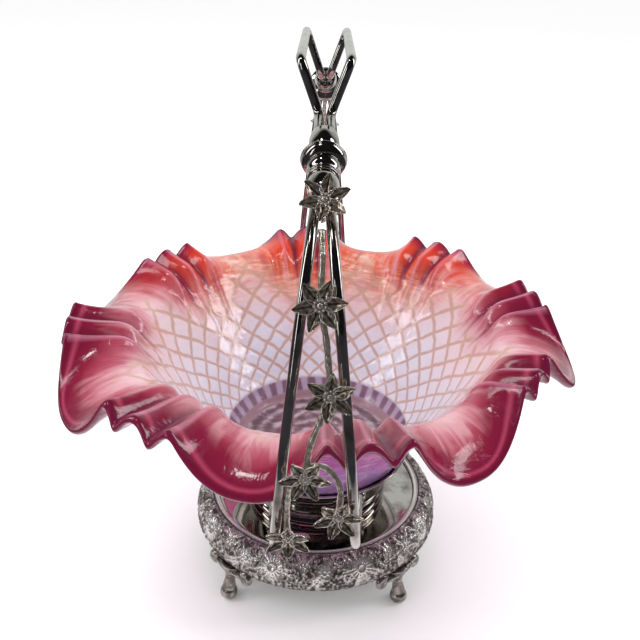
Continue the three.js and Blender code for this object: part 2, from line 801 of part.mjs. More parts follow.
for (const [sideName, side] of [
  ["left", -1],
  ["right", 1],
]) {
  const front = placedCorners(railCorners, side, -1);
  const back = placedCorners(railCorners, side, 1);
  const railRoute = roundedRoute([...front, ...back.reverse()]);
  addPiece("top_rail_" + sideName, barAlong(railRoute, rodRadius, rodSides), silverPlate);
  for (const [endName, end] of [
    ["front", -1],
    ["back", 1],
  ]) {
    const corners = placedCorners(armCorners, side, end);
    const last = corners[corners.length - 1].point;
    const before = corners[corners.length - 2].point;
    const stop = before.clone().sub(last).normalize();
    corners[corners.length - 1].point = last.clone().addScaledVector(stop, screwHeadRadius + seatGap);
    const route = roundedRoute(corners);
    addPiece(endName + "_" + sideName + "_rod", barAlong(route, rodRadius, rodSides), silverPlate);
  }
}

// Collar beads, turned with a bore that takes both rods
const beadBoreRadius = (pinchHalfWidth + rodRadius + seatGap) / Math.cos(Math.PI / smallTurnSteps);
const beadBodyRadius = beadBoreRadius + beadEndWall;

// A bead's profile about its own axis, swelling between its two ends.
function beadProfile(length, radius, extraOuter = []) {
  const swellDepth = radius - beadBodyRadius;
  const swell = arcPoints(beadBodyRadius, length / 2, swellDepth, length / 2, -90, 90, swellSteps);
  const outer = [...extraOuter, ...swell];
  const inner = [
    [beadBoreRadius, length],
    [beadBoreRadius, outer[0][1]],
  ];
  return closedProfile(outer, inner);
}

const discStep = [
  [discStepRadius - beadEndWall, -discStepLength],
  [discStepRadius, -discStepLength / 2],
  [discStepRadius, 0],
];
const beads = [
  ["upper_bead", beadProfile(upperBeadLength, upperBeadRadius), -discBeadLength / 2 - seatGap],
  ["disc_bead", beadProfile(discBeadLength, discBeadRadius, discStep), discBeadLength / 2],
  ["lower_bead", beadProfile(lowerBeadLength, lowerBeadRadius), lowerBeadEnd],
];
for (const [endName, end] of [
  ["front", -1],
  ["back", 1],
]) {
  for (const [name, profile, down] of beads) {
    const bead = addPiece(endName + "_" + name, turned(profile, smallTurnSteps), silverPlate);
    const { reach, height } = collarPlace(down);
    bead.position.set(0, end * reach, height);
    bead.rotation.x = end * collarTilt;
  }
}

// Vine and flowers lie along the arm, from below the collar to the bottom bend.
const armRoute = roundedRoute(
  armCorners.slice(1, 6).map((corner) => ({
    point: new THREE.Vector3(corner.half, corner.reach, corner.height),
    fillet: corner.fillet,
  })),
);
const armLine = armRoute.slice(0, -filletSteps); // up to the lower bend
const armLengths = [0];
for (let i = 1; i < armLine.length; i += 1) {
  armLengths.push(armLengths[i - 1] + armLine[i].distanceTo(armLine[i - 1]));
}
const armLength = armLengths[armLengths.length - 1];

// The place at a share of the arm's length: half width, reach and height, and the way the arm runs there.
function armAt(share) {
  const length = Math.min(Math.max(share, 0), 1) * armLength;
  let i = 1;
  while (i < armLine.length - 1 && armLengths[i] < length) {
    i += 1;
  }
  const part = (length - armLengths[i - 1]) / (armLengths[i] - armLengths[i - 1]);
  const place = armLine[i - 1].clone().lerp(armLine[i], part);
  const way = armLine[i].clone().sub(armLine[i - 1]);
  const angle = Math.atan2(way.z, way.y);
  return { half: place.x, reach: place.y, height: place.z, angle };
}

// A point beside the arm: a share of its length, a share of its half width, and a lift off its outer face.
function besideArm(share, sideShare, lift) {
  const { half, reach, height, angle } = armAt(share);
  const y = reach - lift * Math.sin(angle);
  const z = height + lift * Math.cos(angle);
  return { point: new THREE.Vector3(sideShare * half, y, z), angle };
}

const flowerBackLift = rodRadius + seatGap;
const vineLift = flowerBackLift - seatGap - vineRadius;

const ridgeReachShare = 0.55; // of a petal's length, where its ridge is highest

// One flower lying in the XY plane with its back at height zero.
function flowerGeometry() {
  const count = petalCount * petalSteps;
  const outline = [flowerRadius, petalShoulderRadius, flowerWaistRadius, petalShoulderRadius];
  const ring = (reachShare, ridgeHeight, edgeHeight, innerRadius) =>
    Array.from({ length: count }, (_, i) => {
      const angle = (2 * Math.PI * i) / count;
      const onRidge = i % petalSteps === 0;
      const radius = THREE.MathUtils.lerp(innerRadius, outline[i % petalSteps], reachShare);
      const height = onRidge ? ridgeHeight + reachShare * petalTipRise : edgeHeight;
      return [radius * Math.cos(angle), radius * Math.sin(angle), height];
    });
  const ridge = petalRidgeHeight + petalEdgeThickness;
  const edge = petalEdgeThickness;
  return ringSkin([
    [[0, 0, 0]],
    ring(1, 0, 0, 0),
    ring(1, edge, edge, 0),
    ring(ridgeReachShare, ridge, edge, flowerEyeRadius),
    ring(0, edge, edge, flowerEyeRadius),
    [[0, 0, flowerEyeHeight + edge / 2]],
  ]);
}

const flowerShape = flowerGeometry();
const flowerRunShares = [0.045, 0.305, 0.525, 0.75, 0.883, 0.965];
const flowerSideShares = [-0.25, 0.02, -0.43, 0.32, -0.6, 0.67];
const flowerTurnDegrees = [20, 8, 25, 0, 12, 30];
const flowerTiltDegrees = [12, 0, 0, 0, 0, 0];

// Routes of the vine as [share of the arm's length, share of its half width].
const vineRoutes = [
  [
    [0.12, 0],
    [0.21, -0.08],
    [0.305, 0],
    [0.386, -0.3],
    [0.458, -0.4],
    [0.525, -0.43],
    [0.598, -0.1],
    [0.666, 0.2],
    [0.75, 0.32],
  ],
  [
    [0.733, 0.29],
    [0.728, -0.2],
    [0.767, -0.56],
    [0.811, -0.68],
    [0.888, -0.6],
  ],
  [
    [0.75, 0.32],
    [0.761, 0.6],
    [0.8, 0.74],
    [0.888, 0.75],
    [0.97, 0.69],
  ],
];

// The vine of one arm, with its stem and its two branches joined.
function vineGeometry() {
  const bars = vineRoutes.map((route) => {
    const points = route.map(([share, sideShare]) => besideArm(share, sideShare, vineLift).point);
    const curve = new THREE.CatmullRomCurve3(points);
    return barAlong(curve.getPoints(vineStepsPerPoint * (points.length - 1)), vineRadius, vineSides);
  });
  return fromSolid(joined(bars));
}

const vineShape = vineGeometry();
for (const [endName, end] of [
  ["front", -1],
  ["back", 1],
]) {
  const arm = new THREE.Group();
  arm.rotation.z = end < 0 ? Math.PI : 0;
  basket.add(arm);
  addPiece(endName + "_vine", vineShape.clone(), tarnishedPlate, arm);
  flowerRunShares.forEach((share, i) => {
    const lift = flowerBackLift + (i === 0 ? firstFlowerLift : 0);
    const { point, angle } = besideArm(share, flowerSideShares[i], lift);
    const flower = addPiece(endName + "_flower_" + (i + 1), flowerShape.clone(), tarnishedPlate, arm);
    flower.position.copy(point);
    flower.rotation.x = angle - THREE.MathUtils.degToRad(flowerTiltDegrees[i]);
    flower.rotateZ(THREE.MathUtils.degToRad(flowerTurnDegrees[i]));
  });
}

export default basket;
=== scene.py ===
"""A brides basket: a ruffled cranberry glass bowl in a footed, silver plated stand with a tall handle.

Sizes are in millimetres in the sections below, and each mesh is written in metres, in the frame of the
CAD model: +Z up, the handle in the YZ plane, its front arm at -Y.
"""

from functools import partial

import bmesh
import bpy
import numpy as np
from mathutils import Matrix, Vector


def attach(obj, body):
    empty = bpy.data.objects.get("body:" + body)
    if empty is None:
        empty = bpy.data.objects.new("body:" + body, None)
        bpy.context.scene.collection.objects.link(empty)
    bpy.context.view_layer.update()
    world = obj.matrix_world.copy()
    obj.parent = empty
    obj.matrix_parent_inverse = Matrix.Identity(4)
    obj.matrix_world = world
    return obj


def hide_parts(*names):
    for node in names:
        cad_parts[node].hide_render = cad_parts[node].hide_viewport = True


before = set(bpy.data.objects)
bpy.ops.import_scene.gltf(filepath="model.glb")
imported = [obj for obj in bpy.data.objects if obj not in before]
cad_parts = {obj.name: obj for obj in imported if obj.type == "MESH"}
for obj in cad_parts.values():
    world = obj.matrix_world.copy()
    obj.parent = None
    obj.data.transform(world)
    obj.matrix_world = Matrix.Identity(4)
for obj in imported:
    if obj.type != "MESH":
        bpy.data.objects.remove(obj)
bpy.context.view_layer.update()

# Stage: a pale floor that runs past the edges of the view, with a plain white sweep behind it. In gloss
# it is pale round the object and behind it, and dark like the room to the front and sides.
MILLIMETRE = 0.001


def linear(hex_colour):
    """An sRGB hex colour as linear RGBA: the power curve of the sRGB standard, part by part."""
    parts = np.array([int(hex_colour[i : i + 2], 16) / 255 for i in (1, 3, 5)])
    low = parts / 12.92
    high = ((parts + 0.055) / 1.055) ** 2.4
    return (*np.where(parts <= 0.04045, low, high), 1.0)


def add_node(tree, kind, settings):
    """Adds a node. A key names a socket or a property, and "stops" fills a colour ramp. A hex colour is
    turned to linear, and a node or an output feeds the socket, a node by its first output in use."""
    node = tree.nodes.new("ShaderNode" + kind)
    for key, value in settings.items():
        if isinstance(value, bpy.types.Node):
            value = next(output for output in value.outputs if output.enabled)
        if isinstance(value, str) and value.startswith("#"):
            value = linear(value)
        if isinstance(value, bpy.types.NodeSocket):
            tree.links.new(value, node.inputs[key])
        elif key == "stops":
            elements = node.color_ramp.elements
            while len(elements) < len(value):
                elements.new(1.0)
            for element, (place, colour) in zip(elements, value):
                element.position, element.color = place, linear(colour)
        elif isinstance(key, int) or key in node.inputs:
            node.inputs[key].default_value = value
        else:
            setattr(node, key, value)
    return node


def new_material(name):
    """An empty node material, what adds a node to it, and the output of its object coordinates."""
    material = bpy.data.materials.new(name)
    material.use_nodes = True
    material.node_tree.nodes.clear()
    add = partial(add_node, material.node_tree)
    return material, add, add("TexCoord", {}).outputs["Object"]


floor_half = 12.0
floor_mesh = bpy.data.meshes.new("floor")
floor_corners = [(x * floor_half, y * floor_half, 0) for x, y in ((-1, -1), (1, -1), (1, 1), (-1, 1))]
floor_mesh.from_pydata(floor_corners, [], [(0, 1, 2, 3)])
floor = bpy.data.objects.new("floor", floor_mesh)
bpy.context.scene.collection.objects.link(floor)
floor_material, add, place = new_material("pale_floor")
pale = add("BsdfDiffuse", {"Color": "#fdfdfd"})
dark = add("BsdfDiffuse", {"Color": "#36353a"})
depth = add("SeparateXYZ", {0: place}).outputs["Y"]
from_object = add("VectorMath", {"operation": "LENGTH", 0: place})
far_off = add("MapRange", {"From Min": 0.12, "From Max": 0.32, "Value": from_object})
in_front = add("MapRange", {"From Min": 0.6, "From Max": 0.25, "To Min": 0.4, "Value": depth})
room_side = add("Math", {"operation": "MULTIPLY", 0: far_off, 1: in_front})
glossy = add("LightPath", {}).outputs["Is Glossy Ray"]
in_gloss = add("Math", {"operation": "MULTIPLY", 0: room_side, 1: glossy})
surface = add("MixShader", {0: in_gloss, 1: pale, 2: dark})
add("OutputMaterial", {"Surface": surface})
floor.data.materials.append(floor_material)

# Light: broad oval lamps above and behind, narrow ones at both sides and in front that show as glints,
# and a small one above like a window. The room is dark, and the sweep behind the object is white.
ambient_strength = 0.98
world = bpy.data.worlds.new("studio")
world.use_nodes = True
bpy.context.scene.world = world
world.node_tree.nodes.clear()
add = partial(add_node, world.node_tree)
rays = add("LightPath", {}).outputs
direction = add("TexCoord", {}).outputs["Generated"]
split = add("SeparateXYZ", {0: direction}).outputs
behind = add("MapRange", {"From Min": 0.3, "From Max": 0.75, "Value": split["Y"]})
not_overhead = add("MapRange", {"From Min": 0.82, "From Max": 0.64, "Value": split["Z"]})
bright = add("Math", {"operation": "MULTIPLY", 0: behind, 1: not_overhead})
seen = add("Mix", {"data_type": "RGBA", 0: bright, 6: "#17171a", 7: "#d9ddda"})
seen = add("Mix", {"data_type": "RGBA", 0: rays["Is Camera Ray"], 6: seen, 7: "#ffffff"})
seen = add("Background", {"Color": seen, "Strength": 1.0})
ambient = add("Background", {"Color": "#ffffff", "Strength": ambient_strength})
direct = rays["Is Camera Ray"]
for kind in ("Is Glossy Ray", "Is Transmission Ray"):
    direct = add("Math", {"operation": "MAXIMUM", 0: direct, 1: rays[kind]})
light = add("MixShader", {0: direct, 1: ambient, 2: seen})
add("OutputWorld", {"Surface": light})
bowl_middle = Vector((0.0, 0.0, 0.13))
# each lamp's name, place, width and height in metres, power in watts, and whether gloss mirrors it
lamps = [
    ("top_softbox", (-0.5, 0.1, 1.6), 2.2, 1.8, 8, False),
    ("left_strip", (-1.3, -0.2, 0.9), 0.3, 1.5, 4.5, True),
    ("right_strip", (1.3, 0.1, 0.9), 0.34, 1.4, 5.5, True),
    ("back_softbox", (0.2, 1.3, 0.9), 1.6, 1.0, 6, False),
    ("front_strip", (-0.75, -0.8, 0.35), 0.1, 0.9, 1.0, True),
    ("small_window", (-0.35, -0.25, 1.5), 0.2, 0.15, 1.3, True)
]
for name, place, width, height, watts, mirrored in lamps:
    data = bpy.data.lights.new(name, "AREA")
    data.shape, data.size, data.size_y, data.energy = "ELLIPSE", width, height, watts
    lamp = bpy.data.objects.new(name, data)
    lamp.rotation_euler = (bowl_middle - Vector(place)).to_track_quat("-Z", "Y").to_euler()
    lamp.location = place
    lamp.visible_glossy = mirrored
    bpy.context.scene.collection.objects.link(lamp)

# Camera: the photograph's viewpoint, in front and above, found by fitting the stand's known circles
# and the handle's plane.
camera_place = Vector((0.0, -0.3777, 0.3462))
camera_pitch, camera_roll = np.radians(27.0), np.radians(1.35)
camera_data = bpy.data.cameras.new("camera")
camera_data.lens, camera_data.sensor_width = 43.04, 36.0
camera_data.clip_start, camera_data.clip_end = 0.01, 50
camera = bpy.data.objects.new("camera", camera_data)
forward = Vector((0, np.cos(camera_pitch), -np.sin(camera_pitch)))
level_right = Vector((1, 0, 0))
level_up = level_right.cross(forward)
camera_right = np.cos(camera_roll) * level_right + np.sin(camera_roll) * level_up
camera_up = np.cos(camera_roll) * level_up - np.sin(camera_roll) * level_right
turn = Matrix((camera_right, camera_up, -forward)).transposed()
camera.matrix_world = Matrix.Translation(camera_place) @ turn.to_4x4()
bpy.context.scene.collection.objects.link(camera)
bpy.context.scene.camera = camera
bpy.context.scene.view_settings.view_transform = "Standard"

# Base border: a band of thin sheet, stamped all over with rosettes, small flowers, leaves, scrolls and
# berries, then plated. Its hollows have gone dark and its high points are rubbed bright.
base_radius, base_top = 72.5, 41.8
widest_height, skirt_height = 27.0, 24.0
crown_inset, skirt_inset = 9.5, 3.2
lip_width, lip_rise = 2.9, 1.0
plate_thickness, seat_gap = 2.0, 0.3
border_wall, ledge_width = 2.2, 2.0
border_columns, border_rows = 1260, 66
relief_height = 1.05
rosette_count, berry_count, bead_count = 9, 5200, 330
weld_millimetres = 0.001
crown_radius = base_radius - crown_inset
skirt_radius = base_radius - skirt_inset
lip_radius = crown_radius - lip_width
plate_height = base_top - lip_rise
plate_under = plate_height - plate_thickness


def facing_out(points, faces):
    """The faces, turned round where they enclose a negative volume: a third of the sum of each
    corner's place times its face's area vector."""
    a, b, c, d = (points[faces[:, i]] for i in range(4))
    area = np.cross(b - a, c - a) + np.cross(c - a, d - a)
    return faces[:, ::-1] if np.einsum("ij,ij->", a, area) < 0 else faces


def grid_faces(rows, columns, rows_closed=False):
    """The quads of a grid whose columns close on themselves: each joins (i, j) to its next
    neighbours, and the rows close too where they go round."""
    i = np.arange(rows if rows_closed else rows - 1)[:, None]
    j = np.arange(columns)
    below, beside = (i + 1) % rows, (j + 1) % columns
    corners = (i * columns + j, i * columns + beside, below * columns + beside, below * columns + j)
    return np.stack(corners, -1).reshape(-1, 4)


def make_piece(name, points, faces, material, body, node, maps=None):
    """A smooth mesh of points in millimetres, which rides on a body and stands for a CAD node. Points
    that coincide, as at a pole, are welded. Maps hold a value at each point for the material."""
    mesh = bpy.data.meshes.new(name)
    faces = facing_out(points, faces)
    mesh.vertices.add(len(points))
    mesh.vertices.foreach_set("co", (points * MILLIMETRE).astype(np.float32).ravel())
    mesh.loops.add(faces.size)
    mesh.loops.foreach_set("vertex_index", faces.astype(np.int32).ravel())
    mesh.polygons.add(len(faces))
    mesh.polygons.foreach_set("loop_start", np.arange(0, faces.size, 4, dtype=np.int32))
    mesh.update(calc_edges=True)
    for key, values in (maps or {}).items():
        layer = mesh.attributes.new(key, "FLOAT", "POINT")
        layer.data.foreach_set("value", values.astype(np.float32).ravel())
    mesh.materials.append(material)
    welded = bmesh.new()
    welded.from_mesh(mesh)
    bmesh.ops.remove_doubles(welded, verts=welded.verts, dist=weld_millimetres * MILLIMETRE)
    welded.to_mesh(mesh)
    welded.free()
    mesh.shade_smooth()
    piece = bpy.data.objects.new(name, mesh)
    bpy.context.scene.collection.objects.link(piece)
    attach(piece, body)
    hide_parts(node)
    return piece


def oval_arc(centre_radius, centre_height, half_width, half_height, start, end, count):
    """Points of an ellipse's arc in a profile: the centre plus the half axes times the angle's cosine
    and sine."""
    angle = np.radians(np.linspace(start, end, count))
    radius = centre_radius + half_width * np.cos(angle)
    return np.stack([radius, centre_height + half_height * np.sin(angle)], -1)


def run_along(route):
    """How far each point of a route lies along it: the sum of the steps before it."""
    return np.concatenate([[0], np.cumsum(np.linalg.norm(np.diff(route, axis=0), axis=1))])


def evenly(route, count):
    """The same route with its points at even distances, each on a straight step of the route."""
    run = run_along(route)
    return np.stack([np.interp(np.linspace(0, run[-1], count), run, part) for part in route.T], -1)


def full_turn(count):
    """Angles at even distances round a full turn."""
    return np.linspace(0, 2 * np.pi, count, endpoint=False)


def unit(vectors):
    """The vectors, each divided by its length."""
    return vectors / np.linalg.norm(vectors, axis=-1, keepdims=True)


def lathe_points(profile, angle):
    """Points of a turned surface: radius times the angle's cosine and sine, and the height."""
    radius, height, angle = np.broadcast_arrays(profile[..., 0], profile[..., 1], angle)
    return np.stack([radius * np.cos(angle), radius * np.sin(angle), height], -1).reshape(-1, 3)


def hump(place, power=1.0):
    """A rise over the places from -1 to 1: one less the place's square, to a power."""
    return np.clip(1 - place**2, 0, None) ** power


def rosette(x, y, radius, petals):
    """The rise of a rosette at a place beside its middle: a low dome scored by petals, a seeded eye,
    and a ring of beads."""
    away, angle = np.hypot(x, y) / radius, np.arctan2(y, x)
    petal = 0.62 + 0.38 * np.abs(np.cos(petals * angle / 2)) ** 0.7
    flesh = hump(away, 0.45) * petal * np.clip((away - 0.3) * 8, 0, 1)
    eye = hump(away / 0.32, 0.5) * (0.9 + 0.25 * np.cos(9 * x) * np.cos(9 * y))
    ring = hump((away - 1.0) / 0.13) * (0.5 + 0.5 * np.cos(4 * petals * angle))
    return np.maximum(np.maximum(flesh * (away < 0.88), eye), ring)


def leaf(x, y, turn, length, width):
    """The rise of a veined leaf turned by an angle: a lens shape with a midrib and side veins."""
    x, y = x * np.cos(turn) + y * np.sin(turn), y * np.cos(turn) - x * np.sin(turn)
    share = x / length
    half = width * np.sqrt(np.clip(share * (1 - share) * 4, 0, None)) * (1.15 - 0.5 * share)
    inside = hump(y / np.maximum(half, 0.05)) * (share > 0) * (share < 1)
    veins = 0.78 + 0.22 * np.cos(2.6 * (x - 1.1 * np.abs(y)))
    rib = 0.35 * np.exp(-((y / 0.35) ** 2))
    return inside**0.6 * (0.75 * veins + rib)


def scroll(x, y, radius, hand):
    """The rise of a C scroll: a rounded cord along an arc that winds in, one turn drawing it halfway
    to its middle."""
    angle = np.arctan2(y * hand, x) % (2 * np.pi)
    away = np.hypot(x, y)
    wound = radius * (1 - 0.5 * angle / (2 * np.pi))
    return np.maximum(hump((away - wound) / (0.13 * radius), 0.5), hump(away / (0.24 * radius), 0.5))


upper_arc = oval_arc(crown_radius, widest_height, crown_inset, base_top - widest_height, 90, 0, 80)
lower_arc = oval_arc(skirt_radius, widest_height, skirt_inset, widest_height - skirt_height, 0, -90, 30)
outer_line = evenly(np.concatenate([[[lip_radius, base_top]], upper_arc, lower_arc[1:]]), border_rows)
outer_run = run_along(outer_line)
band_length = outer_run[-1]
column_angle = full_turn(border_columns)
round_length = 2 * np.pi * base_radius
around, along = column_angle * base_radius, outer_run[:, None]
relief = np.zeros((border_rows, border_columns))


def stamp(x_place, y_place, reach, rise_of):
    """Presses one ornament into the sheet: within its reach, the higher of what is there and the
    ornament's rise, which is a function of the place beside its middle."""
    rows = np.nonzero(np.abs(outer_run - y_place) <= reach)[0]
    spacing = round_length / border_columns
    wide = int(reach / spacing) + 1
    columns = (int(x_place / spacing) + np.arange(-wide, wide + 1)) % border_columns
    x = (around[columns] - x_place + round_length / 2) % round_length - round_length / 2
    window = np.ix_(rows, columns)
    relief[window] = np.maximum(relief[window], rise_of(x, along[rows] - y_place))


def stamp_leaves(x_place, y_place, wide, high, count, reach, rise, length, width):
    """Presses leaves that lean at random round a flower, each rooted on an oval about its middle."""
    for turn in np.radians(rng.uniform(0, 360, count)):
        root = x_place + wide * np.cos(turn), y_place + high * np.sin(turn)
        stamp(*root, reach, lambda x, y: rise * leaf(x, y, turn, length, width))


rng = np.random.default_rng(3)
# each berry's place round and across the band, its radius and its rise
berry_spans = [(0, round_length), (3.6, band_length - 2.6), (0.5, 1.1), (0.3, 0.7)]
for x_place, y_place, radius, rise in zip(*(rng.uniform(*span, berry_count) for span in berry_spans)):
    stamp(x_place, y_place, radius, lambda x, y: rise * hump(np.hypot(x, y) / radius, 0.5))
cell = round_length / rosette_count
for i in range(rosette_count):
    middle = (i + 0.3) * cell + rng.uniform(-1.5, 1.5)
    size = rng.uniform(6.8, 7.6)
    stamp_leaves(middle, 13.2, 5.6, 5.2, 9, 8.0, 0.85, 6.5, 1.5)
    stamp(middle, 13.4, 1.2 * size, lambda x, y: rosette(x, y, size, 16))
    for share, low, radius, petals in [(0.36, 9.0, 3.6, 5), (0.62, 13.6, 4.4, 8), (0.5, 18.8, 3.0, 5)]:
        x_place = middle + (share + rng.uniform(-0.03, 0.03)) * cell
        y_place = low + rng.uniform(-0.8, 0.8)
        stamp_leaves(x_place, y_place, 0.8 * radius, 0.8 * radius, 5, 7.0, 0.8, 5.0, 1.3)
        stamp(x_place, y_place, 1.2 * radius, lambda x, y: rosette(x, y, radius, petals))
    for share, low, hand in [(0.24, 17.0, 1), (0.78, 8.4, -1), (0.86, 17.4, 1)]:
        stamp(middle + share * cell, low, 3.6, lambda x, y: 0.9 * scroll(x, y, 3.2, hand))
bead_row = hump((along - 4.1) / 0.55) * (0.5 + 0.5 * np.cos(bead_count * column_angle))
plain_lip = np.clip((along - 3.1) / 0.5, 0, 1) * np.clip((band_length - 2.2 - along) / 0.4, 0, 1)
relief = np.maximum(relief, 0.75 * bead_row) * plain_lip
lip_line, edge_line = hump((along - 1.2) / 1.5, 0.5), hump(along - band_length + 1.1, 0.5)
relief = np.maximum(relief, np.maximum(0.95 * lip_line, 0.8 * edge_line))
way = unit(np.gradient(outer_line, axis=0))
outward = np.stack([way[:, 1], -way[:, 0]], -1)
outer_skin = outer_line[:, None] + outward[:, None] * ((relief - 1) * relief_height)[..., None]
inner_wide, inner_high = crown_inset - border_wall, base_top - widest_height - border_wall
inner_line = np.array(
    [
        (skirt_radius, skirt_height + border_wall), (base_radius - border_wall, widest_height),
        (crown_radius + 0.87 * inner_wide, widest_height + 0.5 * inner_high),
        (crown_radius + 0.5 * inner_wide, widest_height + 0.87 * inner_high),
        (lip_radius - ledge_width, plate_under - seat_gap - border_wall),
        (lip_radius - ledge_width, plate_under - seat_gap), (lip_radius, plate_under - seat_gap)
    ]
)
border_skin = np.concatenate([outer_skin, np.repeat(inner_line[:, None], border_columns, 1)])
border_points = lathe_points(border_skin, column_angle)
border_relief = np.concatenate([relief, np.full((len(inner_line), border_columns), 0.3)])

# Stamped silver plate: near white silver over a dark tarnish that stays in the hollows. Its gloss is
# satin, with a fine stipple left by the die, and the high points are polished by handling.
stipple = {"Scale": 1 / (0.7 * MILLIMETRE), "Detail": 3.0, "Roughness": 0.6}
stain = {"Scale": 1 / (14 * MILLIMETRE), "Detail": 4.0, "Roughness": 0.6}
embossed_plate, add, place = new_material("stamped_silver_plate")
rise = add("Attribute", {"attribute_name": "relief"}).outputs["Fac"]
stipple = add("TexNoise", {"Vector": place, **stipple})
stain = add("TexNoise", {"Vector": place, **stain})
wear = add("Math", {"operation": "MULTIPLY_ADD", 0: stain, 1: 0.24, 2: -0.12})
worn_rise = add("Math", {"operation": "ADD", 0: rise, 1: wear})
silver_stops = [(0.05, "#4a4442"), (0.45, "#a09a96"), (0.95, "#efece9")]
tone = add("ValToRGB", {"stops": silver_stops, "Fac": worn_rise})
gloss = add("MapRange", {"To Min": 0.4, "To Max": 0.12, "Value": worn_rise})
grain = add("Bump", {"Strength": 0.35, "Distance": 0.15 * MILLIMETRE, "Height": stipple})
look = {"Metallic": 0.76, "Base Color": tone, "Roughness": gloss, "Normal": grain}
add("OutputMaterial", {"Surface": add("BsdfPrincipled", look)})
border_faces = grid_faces(len(border_skin), border_columns, True)
make_piece(
    "stamped_border", border_points, border_faces, embossed_plate, "stand", "base_border",
    {"relief": border_relief}
)

# Base plate: a spun disc, polished like a mirror, dropped on the border's ledge and held by the tie
# bolt.
bolt_hole_radius = 2.8
plate_radius = lip_radius - seat_gap
turn_columns = 192

# Polished silver plate: a bright mirror with a thin, uneven, yellow brown tarnish, fine handling
# scratches and a little wear.
polished_plate, add, place = new_material("polished_silver_plate")
cloud = {"Scale": 1 / (16 * MILLIMETRE), "Detail": 5.0, "Roughness": 0.62}
cloud = add("TexNoise", {"Vector": place, **cloud})
tarnish = add("MapRange", {"From Min": 0.46, "From Max": 0.74, "Value": cloud})
tone = add("Mix", {"data_type": "RGBA", 0: tarnish, 6: "#c4c0bb", 7: "#6f645a"})
gloss = add("MapRange", {"To Min": 0.05, "To Max": 0.2, "Value": tarnish})
scratch = add("TexNoise", {"Vector": place, "Scale": 1 / (0.9 * MILLIMETRE), "Detail": 2.0})
marks = add("Bump", {"Strength": 0.08, "Distance": 0.05 * MILLIMETRE, "Height": scratch})
look = {"Metallic": 1.0, "Base Color": tone, "Roughness": gloss, "Normal": marks}
add("OutputMaterial", {"Surface": add("BsdfPrincipled", look)})


def rounded(corners, cuts=3):
    """A profile with its corners cut off again and again, each cut a quarter in from both ends, which
    rounds them. Its two ends stay."""
    corners = np.asarray(corners, float)
    for _ in range(cuts):
        near = 0.75 * corners[:-1] + 0.25 * corners[1:]
        far = 0.25 * corners[:-1] + 0.75 * corners[1:]
        between = np.stack([near, far], 1).reshape(-1, 2)
        corners = np.concatenate([corners[:1], between[1:-1], corners[-1:]])
    return corners


def tilted(points, angle):
    """Points turned about the X axis: Y and Z are mixed by the angle's cosine and sine."""
    x, y, z = points.T
    return np.stack([x, y * np.cos(angle) - z * np.sin(angle), y * np.sin(angle) + z * np.cos(angle)], -1)


def turned_piece(name, node, parts, columns=turn_columns, tilt=0.0, middle=(0, 0, 0), closed=True):
    """A turned and polished piece: the parts of its profile, joined and carried round the Z axis,
    tilted, and moved to its middle."""
    profile = np.concatenate(parts)
    points = tilted(lathe_points(profile[:, None], full_turn(columns)), tilt) + np.array(middle)
    faces = grid_faces(len(profile), columns, closed)
    make_piece(name, points, faces, polished_plate, "stand", node)


plate_face = np.linspace([bolt_hole_radius, plate_height], [plate_radius - 0.4, plate_height], 30)
plate_edge = oval_arc(plate_radius - 0.4, plate_height - 0.4, 0.4, 0.4, 90, 0, 4)
plate_back = [(plate_radius, plate_under), (bolt_hole_radius, plate_under)]
turned_piece("mirror_plate", "base_plate", [plate_face, plate_edge, plate_back])

# Feet: cast in one piece each, a ball on a waisted stalk under a leaf with a scroll to each side, and
# soldered under the border. The casting is rough, so its plating looks satin and greyer.
foot_angle = 48.0
foot_ball_radius, foot_ball_height = 5.0, 4.5
foot_reach = base_radius + 0.7
foot_top_reach, foot_top_height = base_radius - 3.0, skirt_height - 0.6
scroll_side = 12.6
foot_voxel = 0.42


def swept(path, radius, sides):
    """A closed skin along a path: at each of its points a ring of the given radius, square to the
    path. Its ends are drawn to a point."""
    way = unit(np.gradient(path, axis=0))
    across = unit(np.cross(way, (0.97, 0.13, 0.21)))
    over = np.cross(across, way)
    angle = full_turn(sides)[:, None]
    radius = np.broadcast_to(radius, len(path))[:, None, None]
    rings = path[:, None] + radius * (across[:, None] * np.cos(angle) + over[:, None] * np.sin(angle))
    ends = np.repeat(path[[0, -1], None], sides, 1)
    points = np.concatenate([ends[:1], rings, ends[1:]])
    return points.reshape(-1, 3), grid_faces(len(points), sides)


def ball(middle, radii, rows=24, columns=36):
    """A ball or a pressed ball: the middle plus the radii times the cosines and sines of its latitude
    and longitude."""
    latitude = np.linspace(-np.pi / 2, np.pi / 2, rows)[:, None]
    sphere = lathe_points(np.stack([np.cos(latitude), np.sin(latitude)], -1), full_turn(columns))
    return sphere * np.array(radii) + np.array(middle), grid_faces(rows, columns)


def joined_skins(skins):
    """Several skins as one set of points and faces."""
    starts = np.cumsum([0] + [len(points) for points, _ in skins[:-1]])
    faces = [facing_out(points, corners) + start for (points, corners), start in zip(skins, starts)]
    return np.concatenate([points for points, _ in skins]), np.concatenate(faces)


def turned_about_z(points, degrees):
    """Points turned about the Z axis: X and Y are mixed by the angle's cosine and sine."""
    angle = np.radians(degrees)
    x, y, z = points.T
    return np.stack([x * np.cos(angle) - y * np.sin(angle), x * np.sin(angle) + y * np.cos(angle), z], -1)


